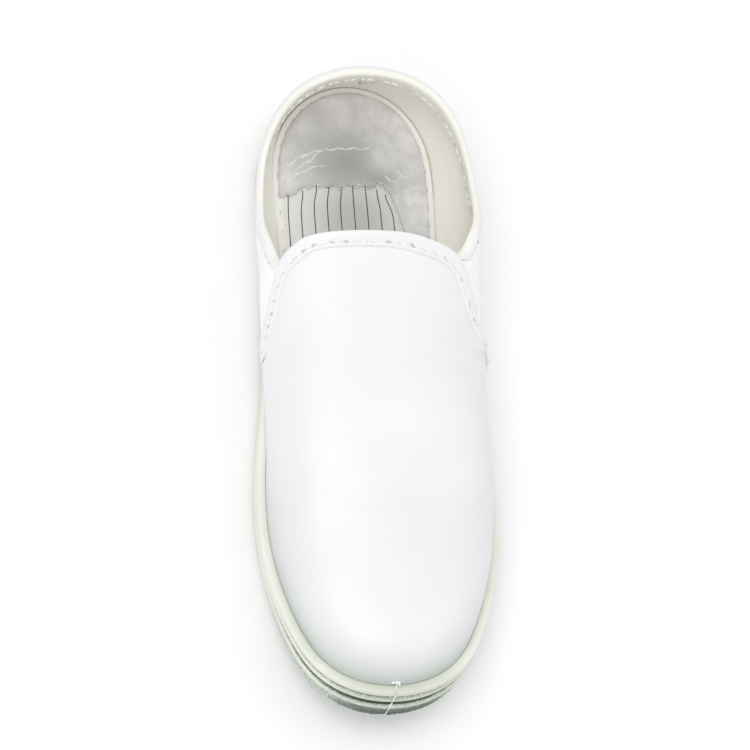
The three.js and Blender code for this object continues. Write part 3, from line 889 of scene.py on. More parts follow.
# %% Swells and troughs of the upper
# Columns: x and distance from the heel of the middle, reach across and along, height.
SWELLS = np.array([
    (-33.0, 125.0, 7.0, 28.0, -0.45),
    (-20.0, 150.0, 9.0, 40.0, 0.25),
    (30.0, 120.0, 7.0, 26.0, -0.35),
    (0.0, 112.0, 26.0, 9.0, -0.35),
    (6.0, 205.0, 24.0, 20.0, -0.3),
    (-24.0, 215.0, 12.0, 26.0, 0.25),
    (27.0, 190.0, 9.0, 34.0, 0.3),
    (-43.0, 96.0, 8.0, 7.0, -0.7),
    (-45.0, 82.0, 8.0, 6.0, 0.5),
    (44.0, 100.0, 8.0, 8.0, -0.6),
    (46.0, 136.0, 6.0, 4.5, 1.3),
    (46.0, 123.0, 6.0, 4.0, -0.7),
    (-40.0, 62.0, 9.0, 10.0, -0.4),
    (42.0, 66.0, 9.0, 12.0, -0.35),
])


def bells(table, x, s):
    """Sum of soft bell shapes, each with its own reach across and along."""
    across = (np.asarray(x)[..., None] - table[:, 0]) / table[:, 2]
    along = (np.asarray(s)[..., None] - table[:, 1]) / table[:, 3]
    return (table[:, 4] * np.exp(-(across ** 2 + along ** 2) / 2)).sum(-1)


def draped_skin(turn, rise, grow):
    """Skin of the last with the swells added to its growth."""
    x, s, _ = last_skin(turn, rise, grow)
    return last_skin(turn, rise, grow + bells(SWELLS, x, s))


# %% The vamp
VAMP_START = BINDING_THICKNESS + GAP
HIDDEN_LAP = 3.0
# Painted shade at the toe: its height over the rim, its fall, and where along the shoe it begins.
TOE_SHADE_HEIGHT = 22
TOE_SHADE_FALL = 1.7
TOE_SHADE_START = 225
TOE_SHADE_REACH = 110
VAMP_ROWS = 64
BEND_TURN = 1.3


def ridge_turn(distance, grow):
    """Turn whose point on the ridge lies on the vamp edge moved forwards by a distance."""
    def test(turn):
        """How far the ridge lies past the moved edge."""
        return past_vamp_edge(*last_skin(turn, np.full_like(turn, np.pi / 2), grow), distance)

    return halving(test, np.array(0.7), np.array(1.4))


def vamp_start(turn, distance, grow):
    """Lowest elevation that lies in front of the vamp edge."""
    foot = np.full_like(turn, -FOOT_TURN)

    def test(rise):
        """How far the skin lies past the moved edge."""
        return past_vamp_edge(*last_skin(turn, rise, grow), distance)

    return np.where(test(foot) > 0, foot, halving(test, foot, np.full_like(turn, np.pi / 2)))


def vamp_half(turn, grow, count):
    """Rows from the vamp edge or the foot up to the ridge, with a turn for each row."""
    start = vamp_start(turn, VAMP_START, grow)
    rise = start[:, None] + (np.pi / 2 - start[:, None]) * np.linspace(0, 1, count)
    return draped_skin(turn[:, None] + 0 * rise, rise, grow)


def toe_shade(x, s, z):
    """Painted shade by the rim of the toe: one less the height over the rim, to a power, times a step along.
    """
    above = np.clip(1 - (z - rim_height(s / SOLE_LENGTH)) / TOE_SHADE_HEIGHT, 0, 1)
    return above ** TOE_SHADE_FALL * step_up(s - 0.4 * x, TOE_SHADE_START, TOE_SHADE_REACH)


def make_vamp():
    """Both sides of the vamp meet on the ridge, first for the leather and then for its lining."""
    first = float(ridge_turn(VAMP_START, 0.0))
    near_throat = np.linspace(first, BEND_TURN, 60, endpoint=False)
    turn = np.concatenate([near_throat, np.linspace(BEND_TURN, np.pi, 130)])
    skins = []
    tones = []
    for grow in (0.0, -WALL):
        left = vamp_half(-turn, grow, VAMP_ROWS)
        right = vamp_half(turn, grow, VAMP_ROWS)
        skins.append(np.concatenate([rolled(*left), rolled(*right)[:, -2::-1]], 1))
        # The vamp's marks are painted shade by the rim of the toe.
        tones.append(np.concatenate([toe_shade(*left), toe_shade(*right)[:, -2::-1]], 1))
    add_piece("vamp", there_and_back(*skins), [vamp_leather, lining_cloth], ["upper"],
              inner_from=skins[0].shape[1], marks=there_and_back(*tones))


make_vamp()

# %% [markdown]
# ## The quarters
#
# The quarters wrap the heel from one side seam to the other. Here each ring stands upright: it climbs the
# outside from the cup to the topline and comes down the lining, so that the topline is one clean row of
# points. Its front edge runs hidden under the seam strip.

# %% The quarters
QUARTER_STEPS = 420
QUARTER_ROWS = 52


def quarter_top(turn, grow):
    """Elevation at which the quarter ends: at the topline, or under the seam strip."""
    def test(rise):
        """How far the skin lies past whichever of the two lines it has passed most."""
        point = last_skin(turn, rise, grow)
        return np.maximum(above_topline(*point, VAMP_START), past_vamp_edge(*point, HIDDEN_LAP))

    return halving(test, np.full_like(turn, -FOOT_TURN), np.full_like(turn, np.pi / 2))


def quarter_end(side):
    """Turn at which the seam strip's line meets the foot of the leather."""
    def test(turn):
        """How far the foot of the leather lies past the hidden lap."""
        return past_vamp_edge(*last_skin(side * turn, np.full_like(turn, -FOOT_TURN)), HIDDEN_LAP)

    return float(halving(test, np.array(1.0), np.array(2.0)))


def make_quarters():
    """Each elevation is the same share of the way from the foot to the top of its ring."""
    turn = np.linspace(-quarter_end(-1), quarter_end(1), QUARTER_STEPS)
    share = np.linspace(0, 1, QUARTER_ROWS)
    skins = []
    for grow in (0.0, -WALL):
        top = quarter_top(turn, grow)
        rise = -FOOT_TURN + (top[:, None] + FOOT_TURN) * share
        skins.append(rolled(*draped_skin(turn[:, None] + 0 * rise, rise, grow)))
    add_piece("quarters", there_and_back(*skins), [lighter_quarter_leather, lining_cloth],
              ["upper"], inner_from=QUARTER_ROWS)


make_quarters()

# %% [markdown]
# ## The bound edges
#
# The throat is bound with a strip folded over its edge. Below the corner of the throat the same strip lies
# flat on the side as a seam, down to the sole. A tube along a curve would float or sink here and there. So a
# profile, given by its distance from the edge and its height over the leather, is carried along the edge on
# the last's own skin, and changes from folded to flat on the way.

# %% Places on an edge of the leather
STITCH_STEPS = 8


def carried(find, way, distance, grow):
    """Points square to an edge: each distance is first stretched so that it is true on the skin itself.

    The stretch is 7 mm over the way from the edge to the line 7 mm ahead, less its part along the edge.
    """
    base = find(way, 0 * way, 0 * way)
    reach = find(way, 0 * way + BINDING_WIDTH, 0 * way) - base
    along = unit(np.gradient(base, axis=0))
    reach -= (reach * along).sum(1, keepdims=True) * along
    stretch = BINDING_WIDTH / np.linalg.norm(reach, axis=1)
    return find(way, distance * stretch, grow)


def at_pitch(find, first, last, pitch):
    """Ways along an edge at even steps of its true length."""
    way = np.linspace(first, last, 2000)
    steps = np.linalg.norm(np.diff(find(way, 0 * way, 0 * way), axis=0), axis=1)
    length = np.concatenate([[0], np.cumsum(steps)])
    count = int(round(length[-1] / pitch)) + 1
    return np.interp(np.linspace(0, length[-1], count), length, way)


def draped(turn, rise, grow):
    """Points of the draped skin, each as one row of three."""
    return np.stack(draped_skin(turn, rise, grow), -1)


def mixed(low, high, share):
    """Profile for each place on an edge: a straight mix of two profiles."""
    return low + (high - low) * share[:, None, None]


def carry_profile(find, way, profile):
    """Rings of a strip: each profile point carried along the edge."""
    lines = [carried(find, way, profile[:, k, 0], profile[:, k, 1]) for k in range(profile.shape[1])]
    rings = np.stack(lines, 1)
    return rolled(rings[..., 0], rings[..., 1], rings[..., 2])


# %% The throat strip
# Columns: distance in front of the edge, and height over the leather.
FOLDED_STRIP = np.array([
    (6.7, -0.2), (7.05, -0.05), (7.1, 0.35), (6.95, 0.62), (6.6, 0.8), (6.15, 0.82), (5.75, 0.62),
    (5.35, 0.42), (4.95, 0.6), (4.5, 0.82), (3.8, 0.96), (2.9, 1.02), (1.9, 1.0), (1.0, 0.88), (0.4, 0.66),
    (0.0, 0.28), (-0.2, -0.3), (-0.2, -1.0), (-0.05, -1.7), (0.3, -2.2), (1.0, -2.5), (2.4, -2.55),
    (4.6, -2.5), (5.8, -2.45), (6.3, -2.3), (6.4, -1.9),
])
FLAT_STRIP = np.array([
    (6.7, -0.2), (7.05, -0.05), (7.1, 0.3), (6.95, 0.52), (6.6, 0.66), (6.15, 0.7), (5.75, 0.6),
    (5.35, 0.52), (4.95, 0.6), (4.5, 0.74), (3.8, 0.86), (2.9, 0.9), (1.9, 0.84), (1.0, 0.66), (0.45, 0.45),
    (0.1, 0.2), (0.0, 0.0), (0.0, -0.1), (0.1, -0.2), (0.4, -0.25), (1.0, -0.25), (2.4, -0.25),
    (4.6, -0.25), (5.4, -0.25), (5.9, -0.25), (6.3, -0.25),
])
STITCH_LINE = 5.35
STITCH_PITCH = 5.4
PUCKER = 0.16
PUCKER_REACH = 1.3
STRIP_FOOT = -0.02
# Turns between which the vamp edge meets the ridge, and the foot of the strip.
RIDGE_TURNS = (0.6, 1.5)
FOOT_TURNS = (0.9, 2.1)


def on_vamp_edge(way, ahead, grow):
    """Points ahead of the vamp edge, counted along the shoe. Way runs from the outer foot to the inner one.

    Each half goes from the turn of the ridge to the turn of the foot, and the elevation is found by halving.
    """
    side = np.where(way < 0, -1.0, 1.0)

    def on_ridge(turn):
        """How far the ridge lies past the place that is looked for."""
        return past_vamp_edge(*last_skin(turn, np.pi / 2 + 0 * turn, grow)) - ahead

    def on_foot(turn):
        """How far the strip's foot lies past it."""
        return past_vamp_edge(*last_skin(side * turn, STRIP_FOOT + 0 * turn, grow)) - ahead

    top = halving(on_ridge, *(bound + 0 * way for bound in RIDGE_TURNS))
    foot = halving(on_foot, *(bound + 0 * way for bound in FOOT_TURNS))
    turn = side * (top + (foot - top) * np.abs(way))

    def on_edge(rise):
        """How far the skin lies past it at an elevation."""
        return past_vamp_edge(*last_skin(turn, rise, grow)) - ahead

    return draped(turn, halving(on_edge, STRIP_FOOT + 0 * way, np.pi / 2 + 0 * way), grow)


def corner_way(side):
    """Way at which the topline crosses the vamp edge: the nearest of 600 places."""
    way = side * np.linspace(0.02, 0.98, 600)
    points = on_vamp_edge(way, 0 * way, 0 * way)
    return float(way[np.argmin(np.abs(above_topline(*points.T)))])


outer_corner = corner_way(-1)
inner_corner = corner_way(1)
FOLD_LENGTH = 0.05


def puckered(profile):
    """A pucker lifts the strip between stitches: a cosine along it times a bell across the stitch line."""
    beside = np.exp(-((profile[..., 0] - STITCH_LINE) / PUCKER_REACH) ** 2) * (profile[..., 1] > 0)
    wave = np.cos(2 * np.pi * np.arange(len(profile)) / STITCH_STEPS)[:, None]
    lift = PUCKER * beside * wave
    return profile + np.stack([0 * lift, lift], -1)


def make_throat_strip():
    """Rings at even steps of true length, eight for each stitch, folded between the two corners."""
    way = at_pitch(on_vamp_edge, -1, 1, STITCH_PITCH / STITCH_STEPS)
    folded = step_up(way, outer_corner - FOLD_LENGTH / 2, FOLD_LENGTH)
    folded *= 1 - step_up(way, inner_corner + FOLD_LENGTH / 2, FOLD_LENGTH)
    rings = carry_profile(on_vamp_edge, way, puckered(mixed(FLAT_STRIP, FOLDED_STRIP, folded)))
    add_piece("throat_strip", rings, [binding_leather], ["vamp_binding"], caps=True)


make_throat_strip()
print("Corners of the throat at", round(outer_corner, 3), "and", round(inner_corner, 3))

# %% [markdown]
# ## The collar strip
#
# The topline is bound as well: a soft strip rolls over it, and its inner side is stitched to the lining. It
# is the same kind of carried profile, and its two ends lie under the throat strip. Round the heel it is
# padded, so there its profile swells inwards.

# %% The collar strip
# Columns: distance under the topline, and height over the leather.
COLLAR_STRIP = np.array([
    (6.7, -0.2), (7.0, -0.05), (7.05, 0.15), (6.8, 0.34), (6.2, 0.42), (5.6, 0.36), (5.0, 0.4), (4.2, 0.6),
    (3.2, 0.72), (2.2, 0.82), (1.2, 0.78), (0.3, 0.52), (-0.35, 0.05), (-0.65, -0.55), (-0.7, -1.2),
    (-0.6, -1.9), (-0.1, -2.35), (0.8, -2.6), (2.2, -2.7), (4.2, -2.6), (5.4, -2.4), (6.1, -2.2),
    (6.6, -2.4), (7.3, -2.5), (7.7, -2.3), (7.6, -1.9),
])
# The padded profile, row for row.
PADDED_COLLAR = np.concatenate([COLLAR_STRIP[:10], np.array([
    (1.2, 0.75), (0.3, 0.45), (-0.35, 0.0), (-0.75, -0.6), (-0.8, -1.3), (-0.7, -2.0), (-0.35, -2.6),
    (0.5, -3.1), (1.8, -3.65), (3.2, -4.2), (3.95, -4.35), (4.55, -4.55), (5.2, -5.0), (6.4, -5.4),
    (7.8, -5.1), (9.4, -1.9),
])])
PADDED_FROM = 0.78
PADDED_REACH = 0.36
COLLAR_FOLD = 12
COLLAR_STEP = 0.8
COLLAR_LAP = 5.5
NARROWING = 0.62


def on_topline(turn, under, grow):
    """Points under the topline, counted upright, with the elevation found by halving."""
    def on_edge(rise):
        """How far the skin lies above the place that is looked for."""
        return above_topline(*last_skin(turn, rise, grow)) + under

    return draped(turn, halving(on_edge, 0 * turn, np.pi / 2 + 0 * turn), grow)


def collar_end(side):
    """Turn at which the topline has passed the vamp edge by the lap: the nearest of 700 places."""
    turn = side * np.linspace(0.7, 1.4, 700)
    points = on_topline(turn, 0 * turn, 0 * turn)
    return float(turn[np.argmin(np.abs(past_vamp_edge(*points.T) - COLLAR_LAP))])


def padding(turn):
    """Share of the padded profile: a step of the cosine, whole at the back of the heel, none at the sides."""
    return step_up(np.cos(turn), PADDED_FROM, PADDED_REACH)


outer_end = collar_end(-1)
inner_end = collar_end(1)


def width_share(turn):
    """The strip narrows over the last fifth of its way to each throat corner, so that it runs under."""
    done = np.where(turn < 0, turn / outer_end, turn / inner_end)
    return 1 - NARROWING * step_up(done, 0.9, 0.2)


def make_collar_strip():
    """Rings at even steps of true length. Past the fold the faces are of the facing's leather."""
    turn = at_pitch(on_topline, outer_end, inner_end, COLLAR_STEP)
    profile = mixed(COLLAR_STRIP, PADDED_COLLAR, padding(turn))
    profile[..., 0] *= width_share(turn)[:, None]
    rings = carry_profile(on_topline, turn, profile)
    add_piece("collar_strip", rings, [binding_leather, collar_facing], ["collar_binding"],
              caps=True, inner_from=COLLAR_FOLD)


make_collar_strip()
print("Collar ends at turns", round(outer_end, 3), "and", round(inner_end, 3))

# %% [markdown]
# ## The insole
#
# A loose flat insole lies in the cup. It is a sheet whose rings shrink towards the middle line: its edge is
# rounded over, and a shallow channel for the border stitches runs inside it. It is thin and lies flat, so it
# is drawn in place, and a simulated cloth would add nothing.

# %% The insole
INSOLE_THICKNESS = 3
INSOLE_GAP = 0.22
# Columns: distance in from the insole's outline, and height over its underside, up the edge and inwards.
INSOLE_RIM = np.array([
    (0.5, 0.0), (0.1, 0.25), (0.0, 0.8), (0.0, 2.1), (0.08, 2.6), (0.35, 2.92), (1.0, 3.05), (1.7, 3.0),
    (2.3, 2.72), (2.7, 2.62), (3.1, 2.72), (3.7, 2.98), (4.4, 3.05),
])
CROWN_RINGS = 24
INSOLE_STEPS = 540
BORDER_TONE = 0.9
# Where the foot has darkened the cloth. Columns: middle, reach across and along, tone.
INSOLE_SOIL = np.array([
    (-2.0, 64.0, 15.0, 15.0, 0.95),
    (2.0, 96.0, 16.0, 18.0, 0.5),
])


def insole_outline(turn, distance):
    """Outline of the insole: the sole's, in by the ledge, the wall of the upper, a gap and a distance."""
    return inset(sole_plan, turn, ledge(turn) + WALL + INSOLE_GAP + distance)


def insole_top(s):
    """Height of the insole's face over the ground, at a distance from the heel."""
    return bed_height(s / SOLE_LENGTH) + GAP + INSOLE_THICKNESS


def make_insole():
    """Rings from the spine below, up the rounded edge, then inwards over the top to the spine.

    The top between the rim and the spine is a straight mix of both.
    """
    turn = np.linspace(0, 2 * np.pi, INSOLE_STEPS, endpoint=False)
    edge = [(insole_outline(turn, inward + 0 * turn), height + 0 * turn) for inward, height in INSOLE_RIM]
    plan, height = edge[-1]
    middle = spine(turn)
    shares = np.linspace(0, 1, CROWN_RINGS + 1)[1:]
    top = [(plan + (middle - plan) * share, height) for share in shares]
    x, s, z = stacked([(middle, 0 * turn)] + edge + top)
    z += bed_height(s / SOLE_LENGTH) + GAP
    marks = -bells(INSOLE_SOIL, x, s)
    marks[:, :len(INSOLE_RIM) - 1] = BORDER_TONE
    piece = add_piece("insole_sheet", rolled(x, s, z), [insole_knit], ["insole"],
                      around=False, along=True, marks=marks)


make_insole()

# %% [markdown]
# ## The heel pad
#
# A thin soft pad covers the heel of the insole. Walking has pressed it, so it has creases and low blisters,
# and its front edge is ragged. Its surface is displaced in code by soft creases: each is a short line with a
# bell shaped ridge, set where the photograph shows one. A simulated sheet would fold elsewhere.

# %% The heel pad
PAD_THICKNESS = 1.2
PAD_INSET = 3
# How strongly a crease is painted white: a painted highlight along its ridge.
CREASE_HIGHLIGHT = 0.32
PAD_COLUMNS = 169
# The border is rounded over this width, and over more near the front.
PAD_SOFT = 1.4
PAD_SOFT_FRONT = 2.6
PAD_EDGE = 0.12
# Grid of the pad: more rows over the rounded back, and where the shape of the front begins to take over.
PAD_TURN = 1.5
PAD_ROWS = 130
PAD_BACK_ROWS = 20
PAD_BACK_SHARE = 0.2
PAD_FRONT_SHARE = 0.3
# The front comes forward by so much, from x on, over a width, at the inner and at the outer side.
INNER_FRONT = (34.0, 20.0, 15.0)
OUTER_FRONT = (5.0, 26.0, 14.0)
FRONT_SET = 2.5
# Tufts of the torn front: height, turns of the sine for each millimetre, and phase.
TUFTS = ((0.45, 0.9, 1), (0.35, 2.3, 0), (0.25, 5.1, 2))
# A crease bends to and fro along its line, breaks a little, and fades at its ends.
CREASE_BEND = 0.35
CREASE_BEND_TURNS = 0.9
CREASE_BREAK = 0.25
CREASE_BREAK_TURNS = 1.3
CREASE_END = 0.8
PAD_FRONT = 54.6
PAD_LIFT = 0.02
# Columns: x and distance from the heel of both ends, half width, height of the raised crease.
PAD_CREASES = np.array([
    (-29.44, 42.18, -21.84, 37.48, 0.22, 0.24),
    (-21.84, 37.48, -13.54, 34.98, 0.18, 0.18),
    (-26.54, 44.58, -20.34, 40.78, 0.2, 0.21),
    (-20.34, 40.78, -14.94, 35.98, 0.18, 0.18),
    (-30.04, 49.28, -25.34, 46.48, 0.21, 0.19),
    (-23.44, 45.48, -17.14, 43.08, 0.18, 0.13),
    (-15.74, 42.68, -13.14, 42.38, 0.15, 0.08),
    (-11.24, 34.78, -5.64, 34.48, 0.2, 0.13),
    (-4.24, 34.48, 0.86, 34.38, 0.18, 0.1),
    (2.56, 34.38, 7.86, 34.38, 0.18, 0.1),
    (14.46, 47.78, 18.26, 50.58, 0.15, 0.08),
    (20.46, 45.38, 24.66, 48.98, 0.15, 0.06),
])
# Columns: x and distance from the heel of the middle, reach across and along, height.
PAD_SWELLS = np.array([
    (-0.64, 37.58, 17, 2.6, -0.3),
    (3.36, 31.08, 15, 3, 0.16),
    (1.36, 43.08, 15, 2.6, 0.26),
    (-16.64, 46.08, 9, 3, 0.18),
    (5.36, 48.58, 12, 1.8, -0.25),
    (19.36, 46.08, 6, 6, 0.2),
    (-24.64, 30.08, 7, 9, 0.14),
    (1.36, 16.08, 10, 6, 0.2),
])
# Where the pad is soiled. Columns: middle, reach across and along, tone.
PAD_SOIL = np.array([
    (-2.0, 46.0, 17.0, 12.0, 0.72),
    (-6.0, 30.0, 16.0, 12.0, 0.45),
    (14.0, 50.0, 5.0, 4.0, 0.4),
    (-7.0, 9.5, 3.0, 3.5, -0.3),
    (14.0, 40.0, 5.0, 5.0, -0.25),
])


def crease_strength(x, s):
    """Each crease: a bell across its line, with soft ends. Gives the sum, and the sum times each height.

    The line swings as a sine of the way along it, and another sine, with a phase of its own for each crease,
    takes up to half of the bell away.
    """
    start = PAD_CREASES[:, 0:2]
    reach = PAD_CREASES[:, 2:4] - start
    size = np.linalg.norm(reach, axis=1)
    way = reach / size[:, None]
    off = np.stack([x, s], -1)[..., None, :] - start
    along = (off * way).sum(-1)
    bend = CREASE_BEND * np.sin(along * CREASE_BEND_TURNS)
    across = off[..., 0] * way[:, 1] - off[..., 1] * way[:, 0] + bend
    past = np.maximum(0, np.maximum(-along, along - size))
    broken = 1 - CREASE_BREAK + CREASE_BREAK * np.sin(CREASE_BREAK_TURNS * along + 5 * start[:, 1])
    bell = broken * np.exp(-(past / CREASE_END) ** 2 - (across / PAD_CREASES[:, 4]) ** 2 / 2)
    return bell.sum(-1), (bell * PAD_CREASES[:, 5]).sum(-1)


def pad_front(x):
    """Front edge of the pad: it comes forward at the inner side and is torn into small uneven tufts."""
    tufts = sum(height * np.sin(x * turns + phase) for height, turns, phase in TUFTS)
    inner = INNER_FRONT[0] * step_up(x, *INNER_FRONT[1:])
    outer = OUTER_FRONT[0] * step_up(-x, *OUTER_FRONT[1:])
    return PAD_FRONT - FRONT_SET + inner + outer + tufts


def make_heel_cushion():
    """Rows from the back of the pad to its front edge, whose shape takes over by a square along the way.

    The height is the thickness times (0.12 + 0.88 edge), plus edge times the creases and swells. Edge is a
    quarter circle over the soft width beside the border.
    """
    turn = np.linspace(0, PAD_TURN, 220)
    right = insole_outline(turn, PAD_INSET + 0 * turn)
    left = insole_outline(-turn, PAD_INSET + 0 * turn)
    back = max(right[0, 1], left[0, 1]) + 0.01
    near_back = np.linspace(0, 1, PAD_BACK_ROWS, endpoint=False) ** 2 * PAD_BACK_SHARE
    share = np.concatenate([near_back, np.linspace(PAD_BACK_SHARE, 1, PAD_ROWS)])
    across = np.linspace(0, 1, PAD_COLUMNS)

    def spaced(s):
        """Places across each row, from the left border to the right one."""
        x_right = np.interp(s, right[:, 1], right[:, 0])
        x_left = np.interp(s, left[:, 1], left[:, 0])
        return x_left + (x_right - x_left) * across

    row = (back + (PAD_FRONT - back) * share)[:, None]
    front = pad_front(spaced(row))
    taken_over = np.clip((share[:, None] - PAD_FRONT_SHARE) / (1 - PAD_FRONT_SHARE), 0, 1) ** 2
    s = row + (front - PAD_FRONT) * taken_over
    x = spaced(s)
    border = np.concatenate([right[::-1], left[1:]])
    inside = edge_distance(np.stack([x, s], -1).reshape(-1, 2), border).reshape(x.shape)
    inside = np.minimum(inside, front - s)
    soft = PAD_SOFT + PAD_SOFT_FRONT * step_up(s, PAD_FRONT - 6, 6)
    edge = np.sqrt(np.clip(1 - (1 - np.clip(inside / soft, 0, 1)) ** 2, 0, 1))
    crease, raised = crease_strength(x, s)
    top = PAD_THICKNESS * (PAD_EDGE + (1 - PAD_EDGE) * edge) + edge * (raised + bells(PAD_SWELLS, x, s))
    # Creases are whitened as a painted highlight, and the soil is held off them.
    tone = np.clip(crease * CREASE_HIGHLIGHT, 0, 1) - bells(PAD_SOIL, x, s) * (1 - np.clip(crease, 0, 1))
    # The sheet is folded flat at its back and its front, and every row returns underneath.
    x = np.concatenate([x[:1], x, x[-1:]])
    s = np.concatenate([s[:1], s, s[-1:]])
    top = np.pad(top, ((1, 1), (0, 0)))
    tone = np.pad(tone, ((1, 1), (0, 0)), mode="edge")
    ring_x = there_and_back(x, x)
    ring_s = there_and_back(s, s)
    ring_z = there_and_back(top, 0 * top) + insole_top(ring_s) + PAD_LIFT
    piece = add_piece("heel_cushion", rolled(ring_x, ring_s, ring_z), [pad_felt], ["heel_pad"],
                      marks=there_and_back(tone, tone))


make_heel_cushion()

# %% [markdown]
# ## Stitches and threads
#
# A stitch is a short thread that dips into the leather at both ends. Hundreds of them are one mesh: a small
# capsule is stretched along each stitch, and every stitch has its own slight slant so that a row looks sewn.
# A picture of stitches would be cheaper, but only real ones catch the light and cast a shade.

# %% Stitches
STITCH_RINGS = np.array([(-0.5, 0.1), (-0.42, 0.62), (-0.22, 1.0), (0.22, 1.0), (0.42, 0.62), (0.5, 0.1)])
STITCH_SIDES = 6
STITCH_SLANT = 0.06


def frames_on(find, way, distance, grow):
    """Points on a skin with the direction along the row and the way out.

    The way out is the point one millimetre further out less the point itself.
    """
    base = carried(find, way, distance + 0 * way, grow + 0 * way)
    over = carried(find, way, distance + 0 * way, grow + 1 + 0 * way)
    here = rolled(*base.T)
    out = unit(rolled(*over.T) - here)
    along = np.gradient(here, axis=0)
    along = unit(along - (along * out).sum(1, keepdims=True) * out)
    return here, along, out


def capsules(here, along, out, length, width, height):
    """Capsule per stitch: six rings strung along it, each a point plus its cosine across and its sine out."""
    across = np.cross(along, out)
    angle = np.linspace(0, 2 * np.pi, STITCH_SIDES, endpoint=False)
    lengthwise = STITCH_RINGS[:, 0] * length
    swollen = STITCH_RINGS[:, 1]
    ring = swollen[:, None] * width / 2 * np.cos(angle)
    rise = swollen[:, None] * height / 2 * np.sin(angle)
    points = here[:, None, None] + along[:, None, None] * lengthwise[:, None, None]
    return points + across[:, None, None] * ring[..., None] + out[:, None, None] * rise[..., None]


def add_stitches(name, finish, rows):
    """One mesh from rows of capsules, each closed by flat ends."""
    stitches = np.concatenate([row.reshape(-1, len(STITCH_RINGS), STITCH_SIDES, 3) for row in rows])
    count = len(stitches)
    size = len(STITCH_RINGS) * STITCH_SIDES
    one = ring_faces(np.zeros((len(STITCH_RINGS), STITCH_SIDES, 3)), True, False).reshape(-1, 4)
    quads = (one + size * np.arange(count)[:, None, None]).reshape(-1, 4)
    first = np.arange(STITCH_SIDES)
    ends = np.stack([first, first[::-1] + size - STITCH_SIDES])
    caps = (ends + size * np.arange(count)[:, None, None]).reshape(-1, STITCH_SIDES)
    mesh = new_mesh(name, stitches, quads.tolist() + caps.tolist())
    shaped = bmesh.new()
    shaped.from_mesh(mesh)
    bmesh.ops.recalc_face_normals(shaped, faces=shaped.faces)
    shaped.to_mesh(mesh)
    shaped.free()
    print(f"{name}: {count} stitches")
    mount(name, mesh, [finish])


def slanted(along, out, angle, seed):
    """Directions turned about the way out by a slight angle, a little different for each stitch."""
    own = angle + STITCH_SLANT * np.random.default_rng(seed).standard_normal(len(along))
    across = np.cross(along, out)
    return along * np.cos(own)[:, None] + across * np.sin(own)[:, None]


def between(way):
    """The middle of each step of a row."""
    return (way[1:] + way[:-1]) / 2


# %% Stitches of the upper
ROW_SHARE = 0.985
COLLAR_ROW_SHARE = 0.97
COLLAR_PITCH = 4.1
COLLAR_OUTER_LINE = 5.6
INNER_STITCH_LINE = 6.1
PADDED_STITCH_LINE = 4.2
INNER_STITCH_DEPTH = -2.45
PADDED_STITCH_DEPTH = -4.6
# Length, width and height of the stitches.
THROAT_STITCH = (4.0, 0.72, 0.6)
COLLAR_STITCH = (3.0, 0.6, 0.45)
FACING_STITCH = (3.1, 0.95, 0.8)
HOLE_STITCH = (0.8, 0.5, 0.3)
# A bartack sits on the lining over the rear of the insole: its turns, how far under the topline, how high.
BARTACK_TURNS = (0.055, 0.145)
BARTACK_DROP = 29.5
BARTACK_HEIGHT = 5.0
BARTACK_POINTS = 9
BARTACK_THREAD = 0.8


def edge_row(find, way, distance, grow, size, seed):
    """Row of stitches along an edge, at a distance from it and a height over the leather."""
    here, along, out = frames_on(find, way, distance, grow)
    return capsules(here, slanted(along, out, 0.0, seed), out, *size)


def bartack():
    """Short zigzag: the points lie by turns above and below its line, and a stitch joins each two."""
    turn = np.linspace(*BARTACK_TURNS, BARTACK_POINTS)
    under = BARTACK_DROP + BARTACK_HEIGHT * (np.arange(BARTACK_POINTS) % 2 - 0.5)
    here = rolled(*on_topline(turn, under, -WALL - 0.15 + 0 * turn).T)
    along = np.diff(here, axis=0)
    length = np.linalg.norm(along, axis=1)
    out = np.broadcast_to([0.0, -1.0, 0.2], along.shape)
    return capsules(between(here), along / length[:, None], out, float(length.mean()),
                    BARTACK_THREAD, BARTACK_THREAD)


throat_row = at_pitch(on_vamp_edge, -ROW_SHARE, ROW_SHARE, STITCH_PITCH)
collar_row = at_pitch(on_topline, outer_end * COLLAR_ROW_SHARE, inner_end * COLLAR_ROW_SHARE, COLLAR_PITCH)
padded = padding(collar_row)
inner_line = INNER_STITCH_LINE + (PADDED_STITCH_LINE - INNER_STITCH_LINE) * padded
inner_depth = INNER_STITCH_DEPTH + (PADDED_STITCH_DEPTH - INNER_STITCH_DEPTH) * padded
narrow = width_share(collar_row)
leather_rows = [
    edge_row(on_vamp_edge, throat_row, STITCH_LINE, 0.62, THROAT_STITCH, 1),
    edge_row(on_topline, collar_row, COLLAR_OUTER_LINE * narrow, 0.4, COLLAR_STITCH, 2),
    edge_row(on_topline, collar_row, inner_line * narrow, inner_depth, FACING_STITCH, 3),
    bartack(),
]
add_stitches("upper_stitches", white_thread, leather_rows)
# Grey capsules between the throat's stitches are painted shadow at the needle holes.
hole_rows = [edge_row(on_vamp_edge, between(throat_row), STITCH_LINE, 0.5, HOLE_STITCH, 6)]
add_stitches("needle_holes", hole_shade, hole_rows)

# %% Thread end at the toe
# Rows of the side's profile that the thread touches on its way down, with the turn there.
TOE_THREAD = np.array([
    (0, 3.146), (4, 3.148), (7, 3.15), (16, 3.155), (27, 3.161), (30, 3.166), (33, 3.172),
])
THREAD_LIFT = 0.45
THREAD_OVERLAP = 0.6
THREAD_SIZE = (0.8, 0.7)
KNOT_LOOP = (2.6, 1.1, 0.9)
RIM_CROSSING = np.array([0.4, 3.6, -0.2])
THREAD_OUT = np.array([0.0, -0.7, 0.7])
